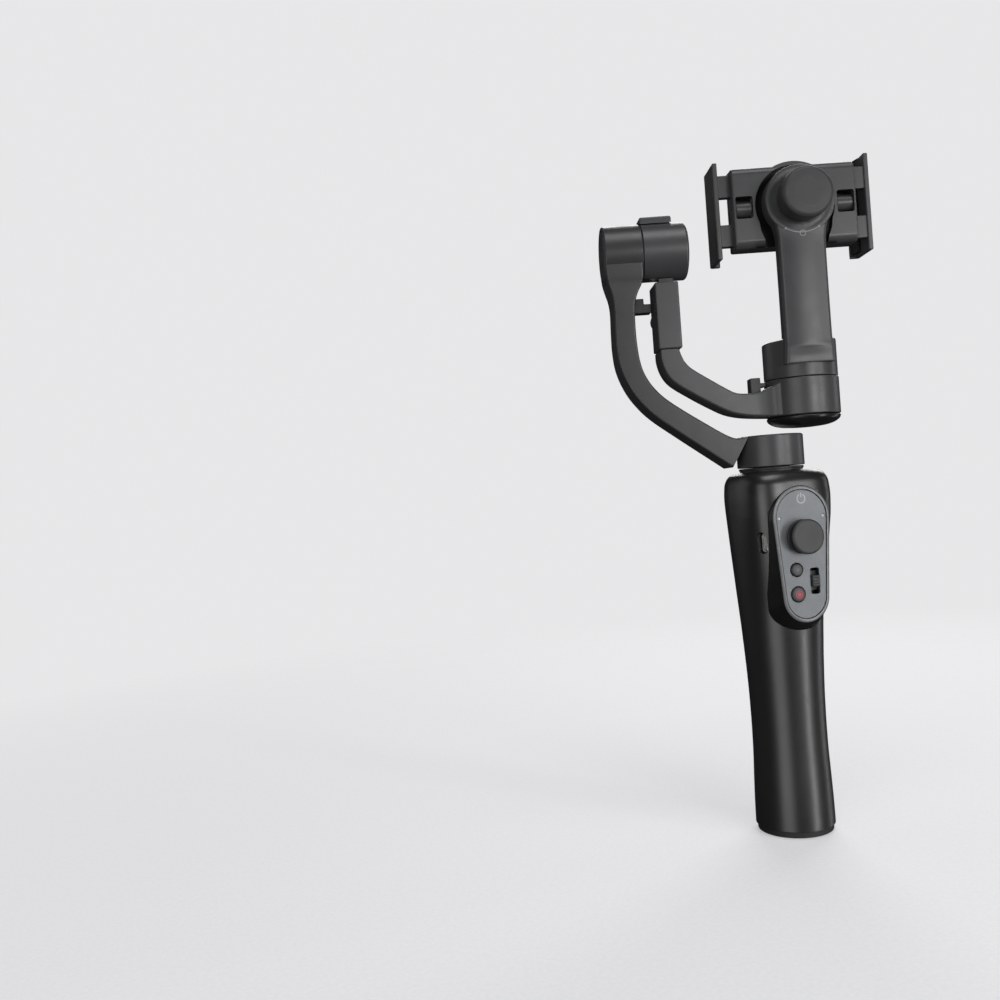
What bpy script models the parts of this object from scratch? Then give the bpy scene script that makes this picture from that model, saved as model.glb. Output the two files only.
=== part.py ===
"""Camera gimbal for a smartphone, in the pose in which it is stored.

Dimensions are in millimetres, in one frame for the whole object. The origin is the centre of the
grip's bottom face. +Z runs up the grip along the pan axis, the two arms lie in the XZ plane, and
-Y is the front, where the locking knob is. Each frame is an empty that carries the pieces which
move together, and a hinge's frame sits on its axis. The control panel faces a little to the right,
so its pieces hang from a frame that is turned about Z.
"""

import math

import bmesh
import bpy
from mathutils import Vector

MM = 0.001
PARTS = "camera_gimbal"
CUTTERS = "cutters"
GAP = 0.3
WELD = 1e-6

# Each facing: the rotation that turns local +Z that way, and its direction.
FACINGS = {
    "up": ((0, 0, 0), (0, 0, 1)),
    "right": ((0, math.radians(90), 0), (1, 0, 0)),
    "left": ((0, math.radians(-90), 0), (-1, 0, 0)),
    "front": ((math.radians(90), 0, 0), (0, -1, 0)),
    "back": ((math.radians(-90), 0, 0), (0, 1, 0)),
}

# Looks: base colour, roughness, metallic.
LOOKS = {
    "soft_touch": ((0.012, 0.012, 0.013), 0.62, 0.0),
    "gloss_black": ((0.010, 0.010, 0.011), 0.30, 0.0),
    "panel_grey": ((0.115, 0.120, 0.125), 0.42, 0.3),
    "satin_grey": ((0.040, 0.041, 0.043), 0.42, 0.4),
    "dark_plastic": ((0.018, 0.018, 0.019), 0.50, 0.0),
    "rubber": ((0.014, 0.014, 0.014), 0.85, 0.0),
    "record_red": ((0.300, 0.015, 0.018), 0.50, 0.0),
    "light_white": ((0.800, 0.800, 0.780), 0.35, 0.0),
    "steel": ((0.560, 0.560, 0.550), 0.30, 1.0),
    "brass": ((0.620, 0.430, 0.160), 0.35, 1.0),
    "copper": ((0.600, 0.270, 0.120), 0.40, 1.0),
    "board_green": ((0.020, 0.120, 0.050), 0.50, 0.0),
    "battery_wrap": ((0.030, 0.090, 0.250), 0.45, 0.0),
}

# Grip, as (radius, height) from the top to the bottom of its outer side.
GRIP_OUTSIDE = (
    (12.5, 153.0), (16.3, 153.0), (18.4, 152.1), (20.0, 149.8), (20.8, 144.5), (20.4, 136.0),
    (19.3, 120.0), (18.1, 102.0), (17.1, 88.0), (16.3, 74.0), (15.7, 60.0), (15.5, 46.0),
    (15.6, 34.0), (16.0, 24.0), (16.4, 12.0), (16.5, 1.2), (16.1, 0.4),
)
# Its inner side, from the bottom to the top: a mouth for the cap, a bore for the battery, a wide head.
GRIP_INSIDE = (
    (14.5, 0.4), (14.5, 8.0), (14.3, 8.4), (14.3, 70.0), (15.3, 88.0), (17.0, 112.0), (18.6, 136.0),
    (18.8, 144.0), (18.2, 148.6), (16.4, 150.8), (12.5, 150.8),
)

# Control panel: a stadium that tapers downwards. Each end is (height of its centre, radius), and
# the rest are distances to the front from the pan axis, in the panel's own frame.
PANEL_TURN = 14.4
PANEL_TOP = (133.4, 11.4)
PANEL_BOTTOM = (100.9, 8.95)
PANEL_FRONT = 21.7
PANEL_BACK = 20.8
POD_FRONT = 21.9
POD_INSIDE = 19.3
POD_BACK = 13.2
POD_MARGIN = 3.2
POD_WALL = 1.3
BOARD_FRONT = 12.9
SWITCH_FRONT = 14.7
STICK_HEIGHT = 125.5
STICK_PIVOT = 16.0
BUTTONS = {"mode": (-3.8, 112.1, 2.6), "record": (-3.8, 102.1, 3.0)}
ZOOM = (4.3, 107.0)
ZOOM_SLOT_HALF = (2.1, 5.4)
LIGHTS = {"left": -10.0, "right": 10.0}
LIGHT_HEIGHT = 133.4
USB_TURN = -27.5
USB_HEIGHT = 123.8
BASE_SCREW_X = 11.0

# Motors: pan turns about Z at the origin, roll about X and tilt about Z. Each has a parting plane
# between its fixed and its turning half, and a depth of the turning cup from that plane.
PAN_PARTING, PAN_RADIUS, PAN_DEPTH = 155.05, 14.0, 11.85
ROLL_PARTING, ROLL_HEIGHT, ROLL_DEPTH = -49.8, 250.0, 17.6
TILT_PARTING, TILT_X, TILT_DEPTH = 191.6, 15.4, 14.4
POST_RADIUS = 5.9
LOCK_HEIGHT = 222.0

# Phone holder: distances to the front, and the clamp about its pivot on the holder arm's head.
HOLDER_BACK, HOLDER_FRONT = 9.7, 17.0
STUD_HOLE = 2.8
PIVOT_HEIGHT = 264.5
CLAMP_HALF = (26.0, 17.1)
CLAMP_FRONT = 9.2
JAW_ARM = (5.8, 15.1)
JAW_ARM_DEPTH = (1.5, 5.2)
RACK_PITCH_RADIUS = 5.7
PINION_TEETH = 12
TOOTH_ABOVE, TOOTH_BELOW = 0.8, 1.15


# ---------------------------------------------------------------- scene and helpers


def clear_scene():
    for obj in list(bpy.data.objects):
        bpy.data.objects.remove(obj, do_unlink=True)


def make_collections():
    for name in (PARTS, CUTTERS):
        bpy.context.scene.collection.children.link(bpy.data.collections.new(name))
    bpy.data.collections[CUTTERS].hide_render = True


def make_looks():
    for name, (colour, roughness, metallic) in LOOKS.items():
        look = bpy.data.materials.new(name)
        look.use_nodes = True
        shader = look.node_tree.nodes["Principled BSDF"]
        shader.inputs["Base Color"].default_value = (*colour, 1.0)
        shader.inputs["Roughness"].default_value = roughness
        shader.inputs["Metallic"].default_value = metallic


def frame(name, origin, parent=None, turn=0.0):
    """An empty at this origin, in the axes of its parent. It remembers the origin for its pieces."""
    empty = bpy.data.objects.new(name, None)
    bpy.data.collections[PARTS].objects.link(empty)
    empty.empty_display_size = 5 * MM
    empty.parent = parent
    base = Vector(parent["origin"]) if parent else Vector()
    empty.location = (Vector(origin) - base) * MM
    empty.rotation_euler.z = math.radians(turn)
    empty["origin"] = list(origin)
    return empty


def add_object(name, mesh, look, parent, centre, facing):
    """Places a mesh. Without a look it is a cutter, or a shape that is joined to another."""
    obj = bpy.data.objects.new(name, mesh)
    bpy.data.collections[PARTS if look else CUTTERS].objects.link(obj)
    obj.parent = parent
    obj.location = (Vector(centre) - Vector(parent["origin"])) * MM
    obj.rotation_euler = FACINGS[facing][0]
    if look:
        mesh.materials.append(bpy.data.materials[look])
    else:
        obj.hide_render = True
        obj.display_type = "WIRE"
    return obj


def mesh_from(name, bm, smooth_below=35.0):
    mesh = bpy.data.meshes.new(name)
    bm.to_mesh(mesh)
    bm.free()
    mesh.shade_smooth()
    mesh.set_sharp_from_angle(angle=math.radians(smooth_below))
    return mesh


def box(name, low, high, look, parent):
    low, high = Vector(low), Vector(high)
    bm = bmesh.new()
    bmesh.ops.create_cube(bm, size=MM)
    bmesh.ops.scale(bm, vec=high - low, verts=bm.verts)
    return add_object(name, mesh_from(name, bm), look, parent, (low + high) / 2, "up")


def rod(name, radius, low, high, look, parent, at=(0, 0, 0), facing="up", sides=24):
    """A cylinder between two distances along its facing."""
    bm = bmesh.new()
    wide = radius * MM
    bmesh.ops.create_cone(
        bm, cap_ends=True, segments=sides, radius1=wide, radius2=wide, depth=(high - low) * MM
    )
    centre = Vector(at) + Vector(FACINGS[facing][1]) * (low + high) / 2
    return add_object(name, mesh_from(name, bm), look, parent, centre, facing)


def turned(name, profile, look, parent, at=(0, 0, 0), facing="up", steps=24, loop=False):
    """A lathe shape from (radius, distance) points, outer side first and from top to bottom."""
    bm = bmesh.new()
    points = [bm.verts.new((radius * MM, 0, height * MM)) for radius, height in profile]
    pairs = list(zip(points, points[1:]))
    if loop:
        pairs.append((points[-1], points[0]))
    for pair in pairs:
        bm.edges.new(pair)
    mesh = bpy.data.meshes.new(name)
    bm.to_mesh(mesh)
    bm.free()
    obj = add_object(name, mesh, look, parent, at, facing)
    screw = obj.modifiers.new("turn", "SCREW")
    screw.steps = screw.render_steps = steps
    screw.use_merge_vertices = True
    screw.merge_threshold = WELD
    screw.use_smooth_shade = True
    return obj


def plate(name, outline, low, high, look, parent, at=(0, 0, 0), facing="front", holes=(), edge=0.0):
    """A flat outline with holes, extruded between two distances along its facing."""
    curve = bpy.data.curves.new(name, "CURVE")
    curve.dimensions = "2D"
    curve.fill_mode = "BOTH"
    for ring in (outline, *holes):
        spline = curve.splines.new("POLY")
        spline.points.add(len(ring) - 1)
        for point, (across, along) in zip(spline.points, ring):
            point.co = (across * MM, along * MM, 0, 1)
        spline.use_cyclic_u = True
    curve.extrude = ((high - low) / 2 - edge) * MM
    curve.bevel_depth = edge * MM
    curve.offset = -edge * MM
    curve.bevel_resolution = 1
    mesh = mesh_of_curve(name, curve)
    centre = Vector(at) + Vector(FACINGS[facing][1]) * (low + high) / 2
    return add_object(name, mesh, look, parent, centre, facing)


def mesh_of_curve(name, curve):
    guide = bpy.data.objects.new(name + "_outline", curve)
    bpy.context.scene.collection.objects.link(guide)
    graph = bpy.context.evaluated_depsgraph_get()
    source = bpy.data.meshes.new_from_object(guide.evaluated_get(graph))
    bpy.data.objects.remove(guide, do_unlink=True)
    bm = bmesh.new()
    bm.from_mesh(source)
    bmesh.ops.remove_doubles(bm, verts=bm.verts, dist=WELD)
    bmesh.ops.recalc_face_normals(bm, faces=bm.faces)
    return mesh_from(name, bm)


def boolean(obj, others, operation, solver="EXACT"):
    for other in others:
        step = obj.modifiers.new(other.name, "BOOLEAN")
        step.operation = operation
        step.solver = solver
        step.object = other


def cut(obj, *cutters):
    boolean(obj, cutters, "DIFFERENCE")


def join(obj, *others, solver="EXACT"):
    boolean(obj, others, "UNION", solver)


def bevel(obj, width, segments=1):
    step = obj.modifiers.new("edges", "BEVEL")
    step.width = width * MM
    step.segments = segments
    step.limit_method = "ANGLE"
    step.angle_limit = math.radians(30)


def arc(centre, radius, start, stop, count):
    """Points on an arc, both ends included."""
    for index in range(count):
        angle = math.radians(start + (stop - start) * index / (count - 1))
        yield (centre[0] + radius * math.cos(angle), centre[1] + radius * math.sin(angle))


def circle(centre, radius, count=24):
    return list(arc(centre, radius, 0, 360 - 360 / count, count))


def stadium(half_width, low, high, x=0.0, count=7):
    """A slot outline with round ends, upright."""
    top = arc((x, high - half_width), half_width, 0, 180, count)
    bottom = arc((x, low + half_width), half_width, 180, 360, count)
    return [*top, *bottom]


def tapered_stadium(margin, count=12):
    """The panel's outline, larger by this margin: two arcs joined by their common tangents."""
    (top, top_radius), (bottom, bottom_radius) = PANEL_TOP, PANEL_BOTTOM
    lean = math.degrees(math.asin((top_radius - bottom_radius) / (top - bottom)))
    upper = arc((0, top), top_radius + margin, -lean, 180 + lean, count)
    lower = arc((0, bottom), bottom_radius + margin, 180 + lean, 360 - lean, count)
    return [*upper, *lower]


def toothed(count, tip, root, tip_share, root_share):
    """A wheel outline: each tooth takes a share of its pitch at the tip and a larger one at the root."""
    corners = ((root, -root_share), (tip, -tip_share), (tip, tip_share), (root, root_share))
    points = []
    for index in range(count):
        middle = 360 / count * index
        for radius, share in corners:
            angle = math.radians(middle + share * 180 / count)
            points.append((radius * math.cos(angle), radius * math.sin(angle)))
    return points


# ---------------------------------------------------------------- grip


def usb_cutter(name, usb):
    opening = stadium(1.9, USB_HEIGHT - 4.6, USB_HEIGHT + 4.6)
    return plate(name, opening, 13.5, 26.0, None, usb)


def make_grip(handle, panel, usb):
    profile = [*GRIP_OUTSIDE, *GRIP_INSIDE]
    shell = turned("grip_shell", profile, "soft_touch", handle, steps=36, loop=True)
    window = plate("pod_window", tapered_stadium(POD_MARGIN + GAP), 2.0, 30.0, None, panel)
    cut(shell, window, usb_cutter("grip_usb_opening", usb))


def make_base(handle):
    cap = turned(
        "grip_base_cap",
        [(8.0, 10.0), (8.0, 6.0), (14.2, 6.0), (14.2, 0.0), (5.3, 0.0), (5.3, 10.0)],
        "dark_plastic", handle, steps=32, loop=True,
    )
    turned(
        "tripod_insert",
        [(5.0, 9.8), (5.0, 0.4), (3.2, 0.4), (3.2, 9.8)],
        "brass", handle, loop=True,
    )
    for number, side in enumerate((-1, 1), 1):
        at = (side * BASE_SCREW_X, 0, 0)
        hole = rod(f"base_screw_hole_{number}", 1.6, -1.0, 8.0, None, handle, at, sides=16)
        sink = rod(f"base_screw_sink_{number}", 2.6, -1.0, 2.4, None, handle, at, sides=16)
        cut(cap, hole, sink)
        turned(
            f"base_screw_{number}",
            [(0, 8.6), (1.3, 8.6), (1.3, 2.1), (2.3, 2.1), (2.3, 0.6), (0, 0.6)],
            "steel", handle, at, steps=16,
        )


def make_battery(handle):
    sleeve = rod("battery_sleeve", 14.0, 11.0, 80.0, "dark_plastic", handle, sides=28)
    cut(sleeve, rod("battery_sleeve_bore", 13.3, 12.6, 82.0, None, handle, sides=28))
    turned(
        "battery_cell",
        [
            (0, 79.4), (3.2, 79.4), (3.2, 78.2), (12.4, 78.2), (13.0, 77.4),
            (13.0, 14.2), (12.4, 13.4), (0, 13.4),
        ],
        "battery_wrap", handle,
    )


def panel_openings(panel):
    """Cutters for the stick, buttons, slider and lights, through the pod's front wall."""
    near, far = 17.0, 30.0
    openings = [rod("stick_opening", 5.0, near, far, None, panel, (0, 0, STICK_HEIGHT), "front")]
    for name, (across, height, radius) in BUTTONS.items():
        at = (across, 0, height)
        openings.append(rod(f"{name}_opening", radius + GAP, near, far, None, panel, at, "front"))
    (across, height), (half_width, half_length) = ZOOM, ZOOM_SLOT_HALF
    slot = stadium(half_width, height - half_length, height + half_length, across)
    openings.append(plate("zoom_opening", slot, near, far, None, panel))
    for side, across in LIGHTS.items():
        at = (across, 0, LIGHT_HEIGHT)
        openings.append(rod(f"light_opening_{side}", 0.9, near, far, None, panel, at, "front", sides=12))
    return openings


def make_pod(panel, usb):
    openings = panel_openings(panel)
    outline = tapered_stadium(POD_MARGIN)
    pod = plate("control_pod_cover", outline, POD_BACK - 5, POD_FRONT, "gloss_black", panel)
    bevel(pod, 2.4, segments=3)
    cut(
        pod,
        box("pod_back", (-20, -POD_BACK, 80), (20, 0, 160), None, panel),
        plate("pod_hollow", tapered_stadium(POD_MARGIN - POD_WALL), 5.0, POD_INSIDE, None, panel),
        plate("panel_recess", tapered_stadium(GAP), PANEL_BACK - GAP, 30.0, None, panel),
        usb_cutter("pod_usb_opening", usb),
        *openings,
    )
    sheet = plate("control_panel_plate", tapered_stadium(0.0), PANEL_BACK, PANEL_FRONT, "panel_grey", panel)
    cut(sheet, *openings)


def make_board(panel):
    """The circuit board, with the switches that are soldered to it."""
    solder = 0.5 - BOARD_FRONT
    board = box("control_board", (-6, -BOARD_FRONT, 96), (8.4, 1.6 - BOARD_FRONT, 148), "board_green", panel)
    for name, (across, height, _) in BUTTONS.items():
        low = (across - 2.2, -SWITCH_FRONT, height - 2.2)
        join(board, box(f"{name}_switch", low, (across + 2.2, solder, height + 2.2), None, panel))
    across, height = ZOOM
    low = (across - 2.4, -17.2, height - 6.0)
    join(board, box("zoom_switch", low, (across + 2.4, solder, height + 6.0), None, panel))


def make_stick(panel):
    """The thumb stick: a base, a ring that rocks about X, and a cap that swings in it about Z."""
    at = (0, 0, STICK_HEIGHT)
    pivot = (0, -STICK_PIVOT, STICK_HEIGHT)
    base = rod("joystick_base", 6.4, 13.2, 18.6, "dark_plastic", panel, at, "front")
    cut(base, rod("joystick_base_bore", 5.4, 13.9, 20.0, None, panel, at, "front"))
    rock = frame("stick_rock_axis", pivot, panel)
    turned(
        "joystick_ring",
        [(4.4, 16.8), (4.4, 15.2), (2.8, 15.2), (2.8, 16.8)],
        "steel", rock, at, "front", steps=20, loop=True,
    )
    turned(
        "joystick_cap",
        [
            (0, 26.4), (3.5, 26.4), (5.6, 26.7), (6.6, 26.5), (7.2, 25.8), (7.1, 25.0), (6.5, 24.5),
            (2.0, 24.5), (2.0, 18.0), (1.5, 17.4), (1.5, 15.4), (0, 15.4),
        ],
        "rubber", frame("stick_swing_axis", pivot, rock), at, "front", steps=28,
    )


def make_buttons(panel):
    """Two push buttons, each with a flange behind the pod's wall and a stalk to its switch."""
    looks = {"mode": "dark_plastic", "record": "record_red"}
    for name, (across, height, radius) in BUTTONS.items():
        at = (across, 0, height)
        stalk_end = SWITCH_FRONT + 0.9
        turned(
            f"{name}_button",
            [
                (0, 22.7), (radius - 0.5, 22.7), (radius, 22.3), (radius, 18.9), (radius + 0.8, 18.9),
                (radius + 0.8, 18.0), (1.2, 18.0), (1.2, stalk_end), (0, stalk_end),
            ],
            looks[name], frame(f"{name}_axis", at, panel), at, "front", steps=24,
        )


def make_slider(panel):
    """The zoom slider: a ribbed knob in the slot, on a base that slides behind the pod's wall."""
    across, height = ZOOM
    slide = frame("zoom_axis", (across, 0, height), panel)
    low = (across - 2.4, -19.0, height - 4.0)
    knob = box("zoom_slider", low, (across + 2.4, -17.8, height + 4.0), "dark_plastic", slide)
    low = (across - 1.6, -23.0, height - 2.3)
    join(knob, box("zoom_knob", low, (across + 1.6, -18.5, height + 2.3), None, slide))
    for number in (-1, 0, 1):
        middle = height + 1.35 * number
        low = (across - 3.0, -24.0, middle - 0.3)
        cut(knob, box(f"zoom_groove_{number + 2}", low, (across + 3.0, -22.6, middle + 0.3), None, slide))


def make_lights(panel):
    for side, across in LIGHTS.items():
        at = (across, 0, LIGHT_HEIGHT)
        rod(f"status_light_{side}", 0.6, 13.3, 21.6, "light_white", panel, at, "front", sides=12)


def make_usb_socket(usb):
    shell = plate("usb_socket", stadium(1.5, USB_HEIGHT - 4.1, USB_HEIGHT + 4.1), 14.0, 19.2, "steel", usb)
    inside = stadium(1.1, USB_HEIGHT - 3.7, USB_HEIGHT + 3.7)
    cut(shell, plate("usb_socket_bore", inside, 14.8, 21.0, None, usb))


# ---------------------------------------------------------------- motors


def motor_core(name, cup, depth, fixed, turning, at, facing):
    """What a motor holds: a toothed core and a bearing on the post, magnets and a shaft on the cup.

    Distances run from the parting plane into the cup, which has this inner radius and depth.
    """
    plate(
        f"{name}_stator_core", toothed(9, cup - 2.1, 7.4, 0.7, 0.35), 1.0, depth - 3.6, "copper", fixed, at,
        facing, holes=[circle((0, 0), POST_RADIUS + GAP, 20)],
    )
    turned(
        f"{name}_magnet_ring",
        [(cup - 0.3, depth - 2.0), (cup - 0.3, 0.8), (cup - 1.6, 0.8), (cup - 1.6, depth - 2.0)],
        "steel", turning, at, facing, loop=True,
    )
    turned(
        f"{name}_bearing",
        [(4.7, depth - 4.2), (4.7, depth - 8.2), (2.9, depth - 8.2), (2.9, depth - 4.2)],
        "steel", fixed, at, facing, steps=20, loop=True,
    )
    turned(
        f"{name}_shaft",
        [
            (0, depth - 0.3), (4.4, depth - 0.3), (4.4, depth - 1.8), (2.6, depth - 1.8), (2.6, -2.6),
            (0, -2.6),
        ],
        "steel", turning, at, facing, steps=20,
    )


def motor_mount(name, radius, depth, fixed, at, facing):
    """The plate and hollow post that carry the core and the bearing."""
    turned(
        f"{name}_motor_mount",
        [
            (POST_RADIUS, depth - 3.4), (POST_RADIUS, -1.2), (radius, -1.2), (radius, -3.0),
            (5.0, -3.0), (5.0, depth - 3.4),
        ],
        "dark_plastic", fixed, at, facing, loop=True,
    )


def rotor_cup(name, radius, cup, length, depth, turning, at, facing, steps=36):
    return turned(
        name,
        [
            (0, length), (radius - 1.0, length), (radius - 0.3, length - 0.3), (radius, length - 1.0),
            (radius, GAP / 2), (cup, GAP / 2), (cup, depth), (0, depth),
        ],
        "satin_grey", turning, at, facing, steps=steps,
    )


def make_pan_motor(handle, pan):
    at = (0, 0, PAN_PARTING)
    turned(
        "pan_motor_mount",
        [
            (POST_RADIUS, PAN_DEPTH - 3.4), (POST_RADIUS, -0.15), (13.6, -0.15), (13.6, -1.75),
            (12.1, -1.75), (12.1, -4.6), (5.0, -4.6), (5.0, PAN_DEPTH - 3.4),
        ],
        "dark_plastic", handle, at, loop=True,
    )
    motor_core("pan", 12.4, PAN_DEPTH, handle, pan, at, "up")
    rotor_cup("pan_motor_housing", PAN_RADIUS, 12.4, 13.45, PAN_DEPTH, pan, at, "up")


def make_roll_motor(pan, roll):
    at = (ROLL_PARTING, 0, ROLL_HEIGHT)
    motor_mount("roll", 10.5, ROLL_DEPTH, pan, at, "right")
    motor_core("roll", 10.9, ROLL_DEPTH, pan, roll, at, "right")
    cup = rotor_cup("roll_motor_housing", 12.2, 10.9, 19.2, ROLL_DEPTH, roll, at, "right")
    cut(cup, box("roll_housing_notch", (-50.5, -9, 236), (-43.5, 9, 238.4), None, roll))
    turned(
        "roll_motor_cap",
        [(0, 16.6), (9.8, 16.6), (10.6, 16.0), (10.6, 14.9), (0, 14.9)],
        "satin_grey", pan, at, "left",
    )


def make_tilt_motor(arm, tilt):
    at = (TILT_X, 0, TILT_PARTING)
    motor_mount("tilt", 13.5, TILT_DEPTH, arm, at, "up")
    motor_core("tilt", 13.8, TILT_DEPTH, arm, tilt, at, "up")
    rotor_cup("tilt_motor_housing", 15.3, 13.8, 16.1, TILT_DEPTH, tilt, at, "up", steps=40)
    turned(
        "tilt_motor_cap",
        [
            (0, 175.7), (15.0, 175.7), (15.4, 175.1), (14.6, 173.4), (11.5, 171.9), (6.0, 171.2),
            (0, 171.1),
        ],
        "gloss_black", arm, (TILT_X, 0, 0), steps=40,
    )


# ---------------------------------------------------------------- arms


def make_pan_arm(pan):
    """The flat bent bar from the pan motor's housing up to the ring that holds the roll motor."""
    bar = plate(
        "pan_arm_frame",
        [
            (-11.0, 155.8), (-18.3, 155.8), (-38.6, 171.0), (-49.6, 179.7), (-55.6, 186.2),
            (-59.6, 192.8), (-62.2, 199.4), (-63.4, 206.5), (-63.6, 214.0), (-63.3, 227.0),
            (-64.1, 233.0), (-65.3, 237.2), (-65.9, 241.0), (-65.9, 244.0), (-50.2, 244.0),
            (-50.2, 237.5), (-52.2, 233.7), (-53.8, 230.2), (-54.6, 226.0), (-55.0, 216.0),
            (-54.6, 206.0), (-53.1, 199.5), (-49.5, 192.3), (-44.7, 186.9), (-30.2, 176.3),
            (-17.3, 168.2), (-11.0, 168.2),
        ],
        -9.5, 9.5, "satin_grey", pan, edge=0.8,
    )
    at = (ROLL_PARTING, 0, ROLL_HEIGHT)
    join(bar, rod("roll_ring", 12.4, GAP / 2, 16.4, None, pan, at, "left", sides=40))
    cut(
        bar,
        rod("roll_ring_bore", 10.9, -2.0, 20.0, None, pan, at, "left", sides=32),
        rod("pan_housing_saddle", PAN_RADIUS + GAP, 150.0, 175.0, None, pan, sides=40),
    )
    stop = [
        (-54.2, 224.2), (-46.9, 224.2), (-46.9, 228.0), (-50.0, 228.0), (-50.0, 230.4), (-53.0, 230.4),
        (-53.7, 228.0),
    ]
    plate("roll_limit_stop", stop, -3.0, 3.0, "dark_plastic", pan)


def make_slide_channel(roll):
    """The sleeve under the roll motor that takes the upper arm's tongue, and the tab on top."""
    axis = (ROLL_PARTING, 0, ROLL_HEIGHT)
    channel = box("arm_slide_channel", (-45.6, -8.0, 207.7), (-35.6, 8.0, 236.0), "satin_grey", roll)
    bevel(channel, 0.7)
    join(channel, box("channel_neck", (-43.2, -4.0, 235.0), (-37.0, 4.0, 239.0), None, roll))
    cut(
        channel,
        rod("channel_saddle", 12.5, -2.0, 22.0, None, roll, axis, "right", sides=40),
        box("channel_pocket", (-44.8, -6.6, 206.0), (-37.2, 6.6, 233.0), None, roll),
        rod("lock_screw_hole", 2.0, 4.0, 10.0, None, roll, (-41.0, 0, LOCK_HEIGHT), "back"),
    )
    tab = box("roll_housing_tab", (-50.0, -5.0, 260.5), (-36.2, 5.0, 264.6), "dark_plastic", roll)
    bevel(tab, 0.5)
    cut(tab, rod("tab_saddle", 12.7, -4.0, 20.0, None, roll, axis, "right", sides=40))


def make_lock_screw(roll):
    at = (-41.0, 0, LOCK_HEIGHT)
    turned(
        "arm_lock_screw",
        [
            (0, 12.4), (4.0, 12.4), (4.5, 11.9), (4.5, 8.9), (4.0, 8.4), (1.7, 8.4), (1.7, 6.5), (0, 6.5),
        ],
        "dark_plastic", frame("lock_screw_axis", at, roll), at, "back", steps=24,
    )


def make_roll_arm(arm):
    """The flat bent bar from its tongue in the channel down to the ring that holds the tilt motor."""
    bar = plate(
        "roll_arm_frame",
        [
            (-45.1, 207.3), (-45.0, 203.3), (-43.4, 198.0), (-39.6, 192.9), (-31.4, 187.2),
            (-23.3, 182.2), (-17.2, 179.0), (-13.0, 177.6), (-4.0, 176.5), (6.0, 176.2), (6.0, 190.6),
            (1.2, 189.0), (-4.2, 186.7), (-14.3, 186.9), (-18.5, 189.4), (-24.6, 193.4),
            (-32.7, 199.0), (-36.2, 203.4), (-37.1, 207.3),
        ],
        -8.0, 8.0, "satin_grey", arm, edge=0.8,
    )
    at = (TILT_X, 0, 0)
    tongue = box("arm_tongue", (-44.4, -6.2, 205.5), (-37.6, 6.2, 231.0), None, arm)
    ring = rod("tilt_ring", 15.5, 176.0, TILT_PARTING - GAP / 2, None, arm, at, sides=40)
    join(bar, tongue, ring)
    cut(bar, rod("tilt_ring_bore", 13.9, 170.0, 195.0, None, arm, at, sides=32))
    stop = [
        (-7.0, 187.3), (-2.9, 187.6), (-2.9, 189.1), (-0.4, 189.4), (-0.4, 191.0), (-2.7, 191.0),
        (-2.7, 193.3), (-7.0, 193.3),
    ]
    plate("tilt_limit_stop", stop, -3.0, 3.0, "dark_plastic", arm)


# ---------------------------------------------------------------- phone holder


def holder_outline(half_width, bottom, head, fillet_height):
    """The upright arm about the tilt axis: straight sides up to a round head."""
    meet = half_width + 1.4
    start = math.degrees(math.acos(-meet / head))
    right = [(half_width + 0.3, bottom), (half_width, fillet_height), (half_width + 0.4, fillet_height + 3.6)]
    round_head = arc((0, PIVOT_HEIGHT), head, start - 180, 360 - start, 21)
    return [*right, *round_head, *[(-x, z) for x, z in reversed(right)]]


def make_holder_arm(tilt):
    at = (TILT_X, 0, 0)
    pivot = (TILT_X, 0, PIVOT_HEIGHT)
    outline = holder_outline(9.9, 197.0, 14.5, 248.6)
    arm = plate("holder_arm", outline, HOLDER_BACK, HOLDER_FRONT, "satin_grey", tilt, at, edge=0.8)
    cover = stadium(7.6, 211.0, 248.0, count=9)
    recess = stadium(7.9, 210.7, 248.3, count=9)
    pocket = stadium(6.3, 212.5, 246.5, count=9)
    cut(
        arm,
        rod("tilt_housing_saddle", 15.6, 195.0, 208.0, None, tilt, at, sides=40),
        rod("stud_hole", STUD_HOLE, 5.0, 30.0, None, tilt, pivot, "front"),
        plate("cover_recess", recess, 5.0, HOLDER_BACK + 1.3, None, tilt, at),
        plate("board_pocket", pocket, 5.0, 15.2, None, tilt, at),
    )
    plate("holder_arm_back_cover", cover, HOLDER_BACK, HOLDER_BACK + 1.0, "dark_plastic", tilt, at)
    low = (TILT_X - 4.5, -14.4, 217.0)
    box("motion_sensor_board", low, (TILT_X + 4.5, -13.2, 241.0), "board_green", tilt)


def make_knob(clamp):
    axis = (TILT_X, 0, PIVOT_HEIGHT)
    turned(
        "clamp_knob",
        [
            (0, 28.4), (9.0, 28.4), (10.1, 27.9), (10.6, 26.8), (10.2, 21.0), (9.6, 17.4), (2.5, 17.4),
            (2.5, 4.6), (0, 4.6),
        ],
        "rubber", frame("knob_axis", axis, clamp), axis, "front", steps=36,
    )


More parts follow.
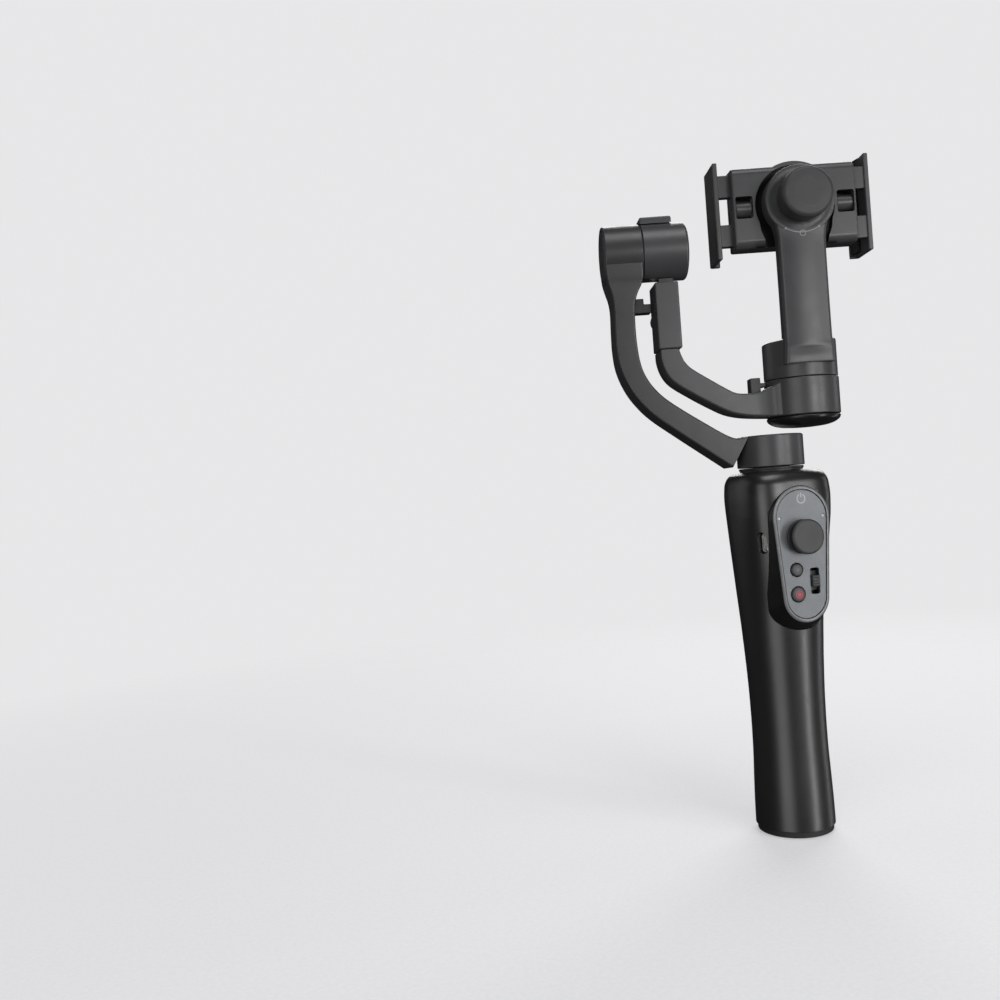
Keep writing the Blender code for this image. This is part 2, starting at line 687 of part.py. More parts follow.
def make_clamp_cover(clamp):
    """The clamp's front: a tray with a slot for each jaw arm and a window on each side."""
    half_width, half_height = CLAMP_HALF
    left, right = TILT_X - half_width, TILT_X + half_width
    bottom, top = PIVOT_HEIGHT - half_height, PIVOT_HEIGHT + half_height
    axis = (TILT_X, 0, PIVOT_HEIGHT)
    wall, side_wall = 1.6, 1.0
    cover = box("clamp_front_cover", (left, -CLAMP_FRONT, bottom), (right, -1.3, top), "satin_grey", clamp)
    bevel(cover, 1.0)
    low = (left + side_wall, wall - CLAMP_FRONT, bottom + wall)
    cut(cover, box("cover_hollow", low, (right - side_wall, 1.0, top - wall), None, clamp))
    join(cover, rod("stud_boss", 4.6, 4.2, 8.5, None, clamp, axis, "front"))
    cut(cover, rod("stud_bore", STUD_HOLE, 2.0, 12.0, None, clamp, axis, "front"))
    near, far = JAW_ARM[0] - 0.4, JAW_ARM[1] + 0.4
    for name, low_z, high_z in (("upper", near, far), ("lower", -far, -near)):
        low = (left - 2, -JAW_ARM_DEPTH[1] - GAP, PIVOT_HEIGHT + low_z)
        cut(cover, box(f"{name}_arm_slot", low, (right + 2, 1.0, PIVOT_HEIGHT + high_z), None, clamp))
    for name, inner, outer in (("left", -25.0, -17.7), ("right", 17.7, 25.0)):
        low = (TILT_X + inner, -12.0, PIVOT_HEIGHT - 4.4)
        cut(cover, box(f"{name}_window", low, (TILT_X + outer, -7.0, PIVOT_HEIGHT + 4.4), None, clamp))


def make_clamp_back(clamp):
    half_width, half_height = CLAMP_HALF
    axis = (TILT_X, 0, PIVOT_HEIGHT)
    low = (TILT_X - half_width, -1.0, PIVOT_HEIGHT - half_height)
    high = (TILT_X + half_width, 2.0, PIVOT_HEIGHT + half_height)
    back = box("clamp_frame", low, high, "satin_grey", clamp)
    bevel(back, 0.8)
    join(back, rod("pinion_pin", 1.6, 0.5, 3.2, None, clamp, axis, "front", sides=16))
    for side in (-1, 1):
        middle = (TILT_X + side * 21.3, -4.9, PIVOT_HEIGHT)
        name = "left" if side < 0 else "right"
        rod(f"spring_barrel_{name}", 3.5, -3.4, 3.4, "satin_grey", clamp, middle, "right")
    low = (TILT_X - 21, 2.3, PIVOT_HEIGHT - 13)
    pad = box("clamp_rest_pad", low, (TILT_X + 21, 3.4, PIVOT_HEIGHT + 13), "rubber", clamp)
    bevel(pad, 0.4)


def racked_arm(pitch):
    """The left jaw's long arm about the pivot. Its teeth leave a gap over the pinion's top tooth."""
    root, tip = RACK_PITCH_RADIUS + TOOTH_BELOW, RACK_PITCH_RADIUS - TOOTH_ABOVE
    points = [(-31.2, JAW_ARM[0]), (-7.0, JAW_ARM[0]), (-6.0, root)]
    for number in range(6):
        middle = (number - 1.5) * pitch
        points += [(middle - 1.0, root), (middle - 0.3, tip), (middle + 0.3, tip), (middle + 1.0, root)]
    return [*points, (12.0, root), (12.0, JAW_ARM[1]), (-31.2, JAW_ARM[1])]


def make_jaw(name, side, clamp):
    """An upright plate with a lip, two flat arms into the clamp and a rubber pad.

    The right jaw is the left one turned half round about the pivot, so its long arm is the lower.
    """
    at = (TILT_X, 0, PIVOT_HEIGHT)
    slide = frame(f"{name}_axis", at, clamp)
    section = [
        (33.0, -6.0), (33.0, 11.2), (32.2, 12.0), (28.6, 12.0), (28.6, 10.4), (31.0, 10.4), (31.0, -6.0),
    ]
    jaw = plate(name, [(side * x, y) for x, y in section], -20.5, 20.5, "dark_plastic", slide, at, "up")
    pitch = 2 * math.pi * RACK_PITCH_RADIUS / PINION_TEETH
    long_arm = [(-side * x, -side * z) for x, z in racked_arm(pitch)]
    short_arm = [
        (side * x, side * z)
        for x, z in ((14.0, JAW_ARM[0]), (31.2, JAW_ARM[0]), (31.2, JAW_ARM[1]), (14.0, JAW_ARM[1]))
    ]
    join(
        jaw,
        plate(f"{name}_long_arm", long_arm, *JAW_ARM_DEPTH, None, slide, at),
        plate(f"{name}_short_arm", short_arm, *JAW_ARM_DEPTH, None, slide, at),
        solver="MANIFOLD",
    )
    near, far = sorted((TILT_X + side * 29.5, TILT_X + side * 30.7))
    pad = box(f"{name}_pad", (near, 3.8, PIVOT_HEIGHT - 19), (far, 10.0, PIVOT_HEIGHT + 19), "rubber", slide)
    bevel(pad, 0.3)


def make_pinion(clamp):
    """The gear that both racks turn, so that the jaws stay centred."""
    at = (TILT_X, 0, PIVOT_HEIGHT)
    tip, root = RACK_PITCH_RADIUS + TOOTH_ABOVE, RACK_PITCH_RADIUS - TOOTH_BELOW
    plate(
        "jaw_pinion", toothed(PINION_TEETH, tip, root, 0.18, 0.68), 1.5, 3.6, "dark_plastic",
        frame("pinion_axis", at, clamp), at, holes=[circle((0, 0), 1.9, 16)],
    )


# ---------------------------------------------------------------- the object


def main():
    clear_scene()
    make_collections()
    make_looks()
    handle = frame("handle", (0, 0, 0))
    panel = frame("panel", (0, 0, 0), handle, PANEL_TURN)
    usb = frame("usb_port", (0, 0, 0), handle, USB_TURN)
    pan = frame("pan_axis", (0, 0, PAN_PARTING), handle)
    roll = frame("roll_axis", (ROLL_PARTING, 0, ROLL_HEIGHT), pan)
    arm = frame("arm_slide_axis", (-41.0, 0, 207.5), roll)
    tilt = frame("tilt_axis", (TILT_X, 0, TILT_PARTING), arm)
    clamp = frame("clamp_axis", (TILT_X, 0, PIVOT_HEIGHT), tilt)

    make_grip(handle, panel, usb)
    make_base(handle)
    make_battery(handle)
    make_pod(panel, usb)
    make_board(panel)
    make_stick(panel)
    make_buttons(panel)
    make_slider(panel)
    make_lights(panel)
    make_usb_socket(usb)

    make_pan_motor(handle, pan)
    make_pan_arm(pan)
    make_roll_motor(pan, roll)
    make_slide_channel(roll)
    make_lock_screw(roll)
    make_roll_arm(arm)
    make_tilt_motor(arm, tilt)

    make_holder_arm(tilt)
    make_knob(clamp)
    make_clamp_cover(clamp)
    make_clamp_back(clamp)
    make_jaw("jaw_left", -1, clamp)
    make_jaw("jaw_right", 1, clamp)
    make_pinion(clamp)


main()
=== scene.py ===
"""Looks of the camera gimbal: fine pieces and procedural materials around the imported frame.

Shapes are built in millimetres, in the frame of the whole object, with their transforms applied, so
that a material's object coordinates are the frame's own. The panel's pieces are turned about Z.
"""

import math

import bmesh
import bpy
from mathutils import Matrix, Vector


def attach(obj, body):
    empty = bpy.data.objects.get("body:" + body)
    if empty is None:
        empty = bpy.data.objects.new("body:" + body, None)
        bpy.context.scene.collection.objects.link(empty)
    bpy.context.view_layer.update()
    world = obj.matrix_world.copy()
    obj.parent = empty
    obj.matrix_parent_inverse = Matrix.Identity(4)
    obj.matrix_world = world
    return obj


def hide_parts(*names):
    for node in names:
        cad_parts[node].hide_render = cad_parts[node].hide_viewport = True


MM = 0.001

FACING = {
    "up": Matrix.Identity(4),
    "front": Matrix.Rotation(math.radians(90), 4, "X"),
    "back": Matrix.Rotation(math.radians(-90), 4, "X"),
    "right": Matrix.Rotation(math.radians(90), 4, "Y"),
    "left": Matrix.Rotation(math.radians(-90), 4, "Y"),
}

# Grip and control panel. The two arcs of the panel's outline are (height, radius), and each button
# is (across, height, radius).
PANEL_TURN = 14.4
PANEL_TOP, PANEL_BOTTOM = (133.4, 11.4), (100.9, 8.95)
PANEL_BACK, PANEL_FRONT = 20.8, 21.7
STICK_HEIGHT = 125.5
BUTTONS = {"mode": (-3.8, 112.1, 2.6), "record": (-3.8, 102.1, 3.0)}
ZOOM = (4.3, 107.0)
LIGHTS = {"left": -10.0, "right": 10.0}
LIGHT_HEIGHT = 133.4
MARK_AT = (0.4, 141.0)
USB_HEIGHT = 123.8
FOOT_HEIGHT = 3.0

# Motors, each with its parting plane between the fixed and the turning half.
PAN_PARTING = 155.05
ROLL_PARTING, ROLL_HEIGHT = -49.8, 250.0
TILT_PARTING, TILT_X = 191.6, 15.4
LOCK_AT = (-41.0, 0.0, 222.0)

# Phone clamp, about its pivot. A side window of its cover is (near edge, far edge, half height).
PIVOT = (TILT_X, 0.0, 264.5)
CLAMP_HALF = (26.0, 17.1)
WINDOW = (17.7, 25.0, 4.7)
CHANNEL_RADIUS = 16.8

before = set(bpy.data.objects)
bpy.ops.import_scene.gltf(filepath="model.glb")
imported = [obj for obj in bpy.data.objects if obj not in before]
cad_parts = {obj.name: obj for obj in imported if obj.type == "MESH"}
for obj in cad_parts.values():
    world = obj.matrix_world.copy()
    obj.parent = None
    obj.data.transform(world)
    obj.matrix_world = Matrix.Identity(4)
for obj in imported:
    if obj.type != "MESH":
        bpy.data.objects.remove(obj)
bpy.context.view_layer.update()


# ------ shape helpers


def arc(centre, radius, start, stop, count):
    """Points on an arc, both ends included."""
    for index in range(count):
        angle = math.radians(start + (stop - start) * index / (count - 1))
        yield (centre[0] + radius * math.cos(angle), centre[1] + radius * math.sin(angle))


def circle(centre, radius, count=64):
    return list(arc(centre, radius, 0, 360 - 360 / count, count))


def stadium(half_width, low, high):
    top = arc((0, high - half_width), half_width, 0, 180, 17)
    bottom = arc((0, low + half_width), half_width, 180, 360, 17)
    return [*top, *bottom]


def tapered_stadium(margin, drop=0.0):
    """The panel's outline, larger by this margin: two arcs joined by their common tangents."""
    (top, top_radius), (bottom, bottom_radius) = PANEL_TOP, PANEL_BOTTOM
    bottom -= drop
    lean = math.degrees(math.asin((top_radius - bottom_radius) / (top - bottom)))
    upper = arc((0, top), top_radius + margin, -lean, 180 + lean, 33)
    lower = arc((0, bottom), bottom_radius + margin, 180 + lean, 360 - lean, 33)
    return [*upper, *lower]


def rounded(points, closed=True, steps=5):
    """A polyline whose corners are rounded by the radius that each point gives as its third number."""
    made = []
    for index, point in enumerate(points):
        here = Vector(point[:2])
        ends = not closed and index in (0, len(points) - 1)
        if ends or len(point) < 3:
            made.append(tuple(here))
            continue
        before = Vector(points[index - 1][:2]) - here
        after = Vector(points[(index + 1) % len(points)][:2]) - here
        half = before.angle(after) / 2
        if half > math.radians(89.5):
            made.append(tuple(here))
            continue
        reach = min(point[2] / math.tan(half), 0.48 * before.length, 0.48 * after.length)
        radius = reach * math.tan(half)
        back, ahead = before.normalized(), after.normalized()
        centre = here + (back + ahead).normalized() * radius / math.sin(half)
        first = here + back * reach - centre
        second = here + ahead * reach - centre
        sweep = first.angle_signed(second)
        for step in range(steps + 1):
            made.append(tuple(centre + Matrix.Rotation(-sweep * step / steps, 2) @ first))
    return made


def rectangle(corner, opposite, radius):
    """A rectangle with rounded corners."""
    (x, z), (far_x, far_z) = corner, opposite
    return rounded([(x, z, radius), (far_x, z, radius), (far_x, far_z, radius), (x, far_z, radius)])


def smooth_through(rows, spans=8):
    """Rows of numbers on a Catmull-Rom curve through the given rows."""
    made = []
    last = len(rows) - 1
    for index in range(last):
        a, b, c, d = (Vector(rows[min(max(index + k, 0), last)]) for k in (-1, 0, 1, 2))
        for step in range(spans):
            t = step / spans
            square = (2 * a - 5 * b + 4 * c - d) * t**2
            cube = (3 * b - a - 3 * c + d) * t**3
            made.append(0.5 * (2 * b + (c - a) * t + square + cube))
    return [*made, Vector(rows[last])]


def build(name, bm, at=(0, 0, 0), facing="up", turn=0.0):
    """An object from a mesh in millimetres, placed in the frame with its transform applied."""
    spin = Matrix.Rotation(math.radians(turn), 4, "Z")
    bm.transform(Matrix.Scale(MM, 4) @ spin @ Matrix.Translation(at) @ FACING[facing])
    bmesh.ops.remove_doubles(bm, verts=bm.verts, dist=1e-7)
    bmesh.ops.recalc_face_normals(bm, faces=bm.faces)
    mesh = bpy.data.meshes.new(name)
    bm.to_mesh(mesh)
    bm.free()
    obj = bpy.data.objects.new(name, mesh)
    bpy.context.scene.collection.objects.link(obj)
    return obj


def skin(bm, rings, closed):
    """Faces between rings of equal length, where a ring may also be a single point."""
    pairs = list(zip(rings, rings[1:]))
    if closed:
        pairs.append((rings[-1], rings[0]))
    for one, two in pairs:
        count = max(len(one), len(two))
        for index in range(count):
            after = (index + 1) % count
            corners = (one, index), (one, after), (two, after), (two, index)
            face = list(dict.fromkeys(ring[number % len(ring)] for ring, number in corners))
            if len(face) > 2:
                bm.faces.new(face)


def lathe(name, profile, at=(0, 0, 0), facing="up", turn=0.0, steps=96, ribs=None):
    """A turned shape from (radius, distance) points. Ribs are (count, depth, low, high)."""
    bm = bmesh.new()
    rings = []
    for radius, height in profile:
        if radius < 1e-6:
            rings.append([bm.verts.new((0, 0, height))])
            continue
        ring = []
        for index in range(steps):
            angle = 2 * math.pi * index / steps
            reach = radius
            if ribs and ribs[2] <= height <= ribs[3]:
                reach -= ribs[1] * (0.5 - 0.5 * math.cos(angle * ribs[0]))
            ring.append(bm.verts.new((reach * math.cos(angle), reach * math.sin(angle), height)))
        rings.append(ring)
    skin(bm, rings, closed=profile[0][0] > 1e-6)
    return build(name, bm, at, facing, turn)


def turned(name, profile, *place, **settings):
    """A lathe whose profile starts and ends on its axis, with the corners rounded."""
    return lathe(name, rounded(profile, closed=False), *place, **settings)


def rod(radius, low, high, at=(0, 0, 0), facing="up", steps=96):
    """A plain cylinder, to cut with or to join."""
    return lathe("rod", [(0, high), (radius, high), (radius, low), (0, low)], at, facing, steps=steps)


def inset_outline(outline, distance):
    """The outline moved inwards. The outline runs anticlockwise."""
    moved = []
    for index, point in enumerate(outline):
        here = Vector(point)
        into = (here - Vector(outline[index - 1])).normalized()
        out = (Vector(outline[(index + 1) % len(outline)]) - here).normalized()
        normals = Vector((-into.y, into.x)), Vector((-out.y, out.x))
        share = max(1 + normals[0].dot(normals[1]), 0.3)
        moved.append(here + (normals[0] + normals[1]) * distance / share)
    return moved


def slab(name, outline, low, high, edge=0.4, at=(0, 0, 0), facing="front", turn=0.0):
    """A flat outline extruded between two distances along its facing, with rounded rims."""
    points = [Vector(point) for point in outline]
    area = sum(a.x * b.y - b.x * a.y for a, b in zip(points, points[1:] + points[:1]))
    if area < 0:
        points.reverse()
    levels = [(0.0, 0.0)]
    if edge:
        angles = [math.radians(22.5 * step) for step in range(5)]
        levels = [(edge * (1 - math.sin(angle)), edge * (1 - math.cos(angle))) for angle in angles]
    bm = bmesh.new()
    rings = []
    for inset, rise in levels:
        rings.append([bm.verts.new((*p, low + rise)) for p in inset_outline(points, inset)])
    for inset, rise in reversed(levels):
        rings.append([bm.verts.new((*p, high - rise)) for p in inset_outline(points, inset)])
    skin(bm, rings, closed=False)
    bm.faces.new(rings[0])
    bm.faces.new(rings[-1])
    return build(name, bm, at, facing, turn)


def block(name, low, high, edge=0.4, turn=0.0, steps=3):
    """A box with rounded edges."""
    bm = bmesh.new()
    bmesh.ops.create_cube(bm, size=1)
    low, high = Vector(low), Vector(high)
    bmesh.ops.scale(bm, vec=high - low, verts=bm.verts)
    bmesh.ops.translate(bm, vec=(low + high) / 2, verts=bm.verts)
    if edge:
        shape = {"offset": edge, "segments": steps, "profile": 0.5, "affect": "EDGES"}
        bmesh.ops.bevel(bm, geom=bm.edges[:], **shape)
    return build(name, bm, turn=turn)


def loft(name, sections, turn=0.0):
    """A skin over closed sections of equal length, with flat ends."""
    bm = bmesh.new()
    rings = [[bm.verts.new(point) for point in section] for section in sections]
    skin(bm, rings, closed=False)
    bm.faces.new(rings[0])
    bm.faces.new(rings[-1])
    return build(name, bm, turn=turn)


def settle(obj):
    """Applies the object's modifiers."""
    graph = bpy.context.evaluated_depsgraph_get()
    mesh = bpy.data.meshes.new_from_object(obj.evaluated_get(graph))
    obj.modifiers.clear()
    obj.data = mesh
    return obj


def combine(obj, operation, *others):
    for other in others:
        step = obj.modifiers.new(other.name, "BOOLEAN")
        step.operation = operation
        step.solver = "EXACT"
        step.object = other
    settle(obj)
    for other in others:
        bpy.data.objects.remove(other)
    return obj


def cut(obj, *cutters):
    return combine(obj, "DIFFERENCE", *cutters)


def join(obj, *others):
    return combine(obj, "UNION", *others)


def soften(obj, width, segments=3):
    """Rounds the sharp edges that a Boolean left."""
    step = obj.modifiers.new("edges", "BEVEL")
    step.width = width * MM
    step.segments = segments
    step.limit_method = "ANGLE"
    step.angle_limit = math.radians(32)
    return settle(obj)


def piece(obj, body, look, *nodes, slot=None, smooth_below=38.0):
    """Gives a finished mesh its shading, look and body, and hides the CAD nodes that it stands for. Its slot
    is not used.
    """
    obj.data.shade_smooth()
    obj.data.set_sharp_from_angle(angle=math.radians(smooth_below))
    obj.modifiers.new("normals", "WEIGHTED_NORMAL").keep_sharp = True
    obj.data.materials.clear()
    obj.data.materials.append(LOOKS[look])
    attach(obj, body)
    if nodes:
        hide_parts(*nodes)


# ------ materials


class Look:
    """A material's node tree, with short ways to add to it. Positions in it are in metres."""

    def __init__(self, name):
        self.material = bpy.data.materials.new(name)
        self.material.use_nodes = True
        self.tree = self.material.node_tree
        self.shader = self.tree.nodes["Principled BSDF"]
        self.place = self.add("ShaderNodeTexCoord").outputs["Object"]

    def add(self, kind, values=(), **settings):
        node = self.tree.nodes.new(kind)
        for key, value in settings.items():
            setattr(node, key, value)
        for key, value in dict(values).items():
            self.feed(node.inputs[key], value)
        return node

    def feed(self, socket, value):
        if isinstance(value, bpy.types.NodeSocket):
            self.tree.links.new(value, socket)
        else:
            socket.default_value = value

    def set(self, **values):
        for key, value in values.items():
            self.feed(self.shader.inputs[key.replace("_", " ")], value)

    def math(self, operation, *values):
        return self.add("ShaderNodeMath", enumerate(values), operation=operation).outputs[0]

    def times(self, first, second):
        return self.math("MULTIPLY", first, second)

    def vector(self, operation, values):
        return self.add("ShaderNodeVectorMath", values, operation=operation)

    def noise(self, size, detail=2.0, stretch=None):
        """Noise whose features are about this many millimetres across."""
        place = self.place
        if stretch:
            place = self.vector("MULTIPLY", {0: place, 1: stretch}).outputs[0]
        values = {"Vector": place, "Scale": 1 / (size * MM), "Detail": detail}
        return self.add("ShaderNodeTexNoise", values).outputs[0]

    def cells(self, size, feature):
        """Cells about this many millimetres across."""
        values = {"Vector": self.place, "Scale": 1 / (size * MM)}
        return self.add("ShaderNodeTexVoronoi", values, feature=feature)

    def remap(self, value, low, high, new_low, new_high):
        names = "Value", "From Min", "From Max", "To Min", "To Max"
        values = zip(names, (value, low, high, new_low, new_high))
        return self.add("ShaderNodeMapRange", values).outputs["Result"]

    def mix(self, factor, first, second):
        node = self.add("ShaderNodeMix", data_type="RGBA")
        for index, value in ((0, factor), (6, first), (7, second)):
            value = (*value, 1.0) if isinstance(value, tuple) and len(value) == 3 else value
            self.feed(node.inputs[index], value)
        return node.outputs[2]

    def split(self, turn=0.0):
        """The position's X, Y and Z in millimetres, in axes turned about Z."""
        values = {"Vector": self.place, "Angle": math.radians(-turn)}
        spun = self.add("ShaderNodeVectorRotate", values, rotation_type="Z_AXIS").outputs[0]
        in_millimetres = self.vector("SCALE", {0: spun, "Scale": 1 / MM}).outputs[0]
        return self.add("ShaderNodeSeparateXYZ", {0: in_millimetres}).outputs[:]

    def distance(self, x, z, at):
        """Distance in millimetres from a point, seen from the front."""
        gaps = self.math("SUBTRACT", x, at[0]), self.math("SUBTRACT", z, at[1])
        squares = [self.times(gap, gap) for gap in gaps]
        return self.math("SQRT", self.math("ADD", *squares))

    def line(self, value, middle, half_width, soft=0.05):
        """1 where a value in millimetres is within a line about its middle."""
        gap = self.math("ABSOLUTE", self.math("SUBTRACT", value, middle))
        return self.remap(gap, half_width, half_width + soft, 1.0, 0.0)

    def edges(self, radius):
        """1 on edges, found by how much a rounded normal leaves the true one."""
        round_normal = self.add("ShaderNodeBevel", {"Radius": radius * MM}, samples=4).outputs[0]
        normal = self.add("ShaderNodeNewGeometry").outputs["Normal"]
        dot = self.vector("DOT_PRODUCT", {0: round_normal, 1: normal}).outputs["Value"]
        return self.remap(dot, 0.995, 0.93, 0.0, 1.0)

    def bump(self, height, depth):
        values = {"Height": height, "Distance": depth * MM}
        self.set(Normal=self.add("ShaderNodeBump", values).outputs[0])


def scaled(colour, factor):
    return tuple(channel * factor for channel in colour)


def moulded(name, colour, roughness, grain=0.3, depth=0.02, mottle=0.1, worn=0.0, gloss=0.03, **settings):
    """A moulded or coated surface: fine grain, faint clouding of colour and gloss, and paler edges, partly
    wear and partly painted highlight.
    """
    look = Look(name)
    cloud = look.remap(look.noise(14.0, 3.0), 0.3, 0.7, 0.0, 1.0)
    base = look.mix(cloud, scaled(colour, 1 - mottle), scaled(colour, 1 + mottle))
    fine = look.noise(grain)
    base = look.mix(look.remap(fine, 0.35, 0.65, 0.0, 0.25), base, scaled(colour, 1.35))
    rough = look.remap(look.noise(5.0, 4.0), 0.3, 0.7, roughness - gloss, roughness + gloss)
    # paler edges in patches: partly edge wear, partly a painted highlight standing for light on the bevels
    if worn:
        patches = look.remap(look.noise(2.5), 0.3, 0.6, 0.5, 1.0)
        edge = look.times(look.edges(0.35), patches)
        pale = tuple(2.2 * channel + 0.02 for channel in colour)
        base = look.mix(look.times(edge, worn), base, pale)
    look.set(Base_Color=base, Roughness=rough, **settings)
    look.bump(fine, depth)
    return look, base, rough


def plain(*arguments, **settings):
    return moulded(*arguments, **settings)[0].material


SATIN = {
    "colour": (0.056, 0.0574, 0.059), "roughness": 0.36, "grain": 0.25, "depth": 0.006, "mottle": 0.07,
    "worn": 0.5,
}
GLOSS = {"colour": (0.011, 0.0112, 0.0117), "depth": 0.004, "worn": 0.2}


def grip_look():
    """Soft-touch coating, and a smoother collar that runs into the control pod along a faint crease."""
    coat = {"grain": 0.22, "depth": 0.008, "mottle": 0.08, "gloss": 0.012, "Specular_IOR_Level": 0.85}
    look, base, rough = moulded("soft_touch", (0.013, 0.0134, 0.0141), 0.36, **coat)
    x, y, z = look.split(PANEL_TURN)
    low, high = PANEL_BOTTOM[0], PANEL_TOP[0]
    half = look.remap(z, low, high, PANEL_BOTTOM[1] + 3.4, PANEL_TOP[1] + 5.2)
    reach = look.distance(x, look.math("MINIMUM", z, low), (0.0, low))
    front = look.remap(y, -6.0, 6.0, 0.0, -30.0)
    tongue = look.math("ADD", look.math("SUBTRACT", half, reach), front)
    collar = look.math("SUBTRACT", z, 145.5)
    side = look.math("SMOOTH_MAX", tongue, collar, 9.0)
    smooth = look.remap(side, -0.15, 0.15, 0.0, 1.0)
    foot = look.remap(z, FOOT_HEIGHT - 0.1, FOOT_HEIGHT, 1.0, 0.0)
    base = look.mix(smooth, base, (0.010, 0.0102, 0.0106))
    look.set(Base_Color=look.mix(foot, base, (0.004, 0.004, 0.004)))
    rough = look.math("SUBTRACT", rough, look.times(smooth, 0.02))
    look.set(Roughness=look.math("ADD", rough, look.times(foot, 0.3)))
    return look.material


def holder_look():
    """The satin finish, with the knob's generic turning marks below the head."""
    look, base, _ = moulded("satin_marked", **SATIN)
    x, _, z = look.split()
    away = look.distance(x, z, (PIVOT[0], PIVOT[2]))
    lower = look.remap(z, PIVOT[2] - 11.9, PIVOT[2] - 11.8, 1.0, 0.0)
    marks = look.times(look.line(away, 13.8, 0.16), lower)
    for side in (-1, 1):
        dot = look.line(look.distance(x, z, (PIVOT[0] + side * 6.9, PIVOT[2] - 11.9)), 0.0, 0.5)
        marks = look.math("MAXIMUM", marks, dot)
    ring = look.line(look.distance(x, z, (PIVOT[0], PIVOT[2] - 14.2)), 1.15, 0.16)
    marks = look.math("MAXIMUM", marks, ring)
    look.set(Base_Color=look.mix(look.times(marks, 0.7), base, (0.32, 0.32, 0.33)))
    return look.material


def cover_look():
    """The satin finish, with painted shade inside the channel round the holder's head."""
    look, base, _ = moulded("satin_shaded_channel", **SATIN)
    x, y, z = look.split()
    across = look.math("ABSOLUTE", look.math("SUBTRACT", x, PIVOT[0]))
    along = look.math("ABSOLUTE", look.math("SUBTRACT", z, PIVOT[2]))
    # painted shade: inside the channel, behind the cover's front, the colour goes near black and the
    # reflection weaker
    deep = look.remap(y, -8.4, -7.2, 0.0, 1.0)
    for gap, limit in ((across, 17.0), (along, 16.9)):
        deep = look.times(deep, look.remap(gap, limit - 0.1, limit + 0.1, 1.0, 0.0))
    look.set(Base_Color=look.mix(deep, base, (0.008, 0.008, 0.0083)))
    look.set(Specular_IOR_Level=look.remap(deep, 0.0, 1.0, 0.5, 0.15))
    return look.material


def pod_look():
    """Gloss black, with a painted highlight: a paler band on the rim round the panel."""
    look, base, _ = moulded("gloss_black_lit_rim", roughness=0.27, **GLOSS)
    _, y, _ = look.split(PANEL_TURN)
    # painted highlight: the rim's front face, nearest the panel, is paler, standing for light caught on its
    # bevel
    rim = look.remap(y, -21.55, -21.45, 1.0, 0.0)
    look.set(Base_Color=look.mix(rim, base, (0.15, 0.155, 0.16)))
    return look.material


def panel_look():
    """Grey metallic paint with fine flakes, and a generic power mark above the stick."""
    paint = {"grain": 0.35, "depth": 0.006, "mottle": 0.06, "Metallic": 0.25}
    look, base, _ = moulded("panel_grey", (0.115, 0.123, 0.131), 0.36, **paint)
    flake = look.cells(0.28, "F1").outputs["Color"]
    base = look.mix(look.times(flake, 0.16), base, (0.34, 0.35, 0.37))
    x, _, z = look.split(PANEL_TURN)
    away = look.distance(x, z, MARK_AT)
    aside = look.math("ABSOLUTE", look.math("SUBTRACT", x, MARK_AT[0]))
    beside = look.remap(aside, 0.7, 0.75, 0.0, 1.0)
    below = look.remap(z, MARK_AT[1], MARK_AT[1] + 0.1, 1.0, 0.0)
    ring = look.times(look.line(away, 1.8, 0.2), look.math("MAXIMUM", beside, below))
    stem = look.times(look.line(x, MARK_AT[0], 0.2), look.line(z, MARK_AT[1] + 1.5, 0.9))
    mark = look.times(look.math("MAXIMUM", ring, stem), 0.35)
    look.set(Base_Color=look.mix(mark, base, (0.60, 0.62, 0.64)))
    return look.material


def button_look(name, button, colour, mark):
    """A matt button with a dot and a fainter ring in its middle."""
    look, base, _ = moulded(name, colour, 0.5, grain=0.2, depth=0.01)
    x, _, z = look.split(PANEL_TURN)
    away = look.distance(x, z, BUTTONS[button])
    halo = look.times(look.line(away, 1.45, 0.16, 0.1), 0.6)
    dot = look.math("MAXIMUM", look.line(away, 0.0, 0.75, 0.15), halo)
    look.set(Base_Color=look.mix(dot, base, mark))
    return look.material


def metal(name, colour, roughness, metallic=1.0):
    """Bare metal with fine brushing and faint stains."""
    look = Look(name)
    brush = look.noise(0.4, 3.0, stretch=(1.0, 1.0, 0.08))
    stain = look.remap(look.noise(6.0, 4.0), 0.35, 0.7, 0.0, 1.0)
    look.set(Base_Color=look.mix(stain, scaled(colour, 0.82), colour), Metallic=metallic)
    look.set(Roughness=look.remap(brush, 0.3, 0.7, roughness - 0.08, roughness + 0.10))
    look.bump(brush, 0.004)
    return look.material


def board_look():
    """A green circuit board with paler tracks."""
    look = Look("circuit_board")
    gap = look.cells(2.0, "DISTANCE_TO_EDGE").outputs[0]
    track = look.remap(gap, 0.04, 0.08, 1.0, 0.0)
    look.set(Base_Color=look.mix(track, (0.005, 0.024, 0.010), (0.02, 0.07, 0.03)), Roughness=0.4)
    look.bump(track, 0.03)
    return look.material


def wrap_look():
    """The battery's shrink wrap, with faint creases round it."""
    look = Look("battery_can")
    crease = look.noise(3.0, 4.0, stretch=(1.0, 1.0, 0.2))
    look.set(Base_Color=look.mix(crease, (0.012, 0.045, 0.16), (0.02, 0.07, 0.24)), Roughness=0.35)
    look.bump(crease, 0.05)
    return look.material


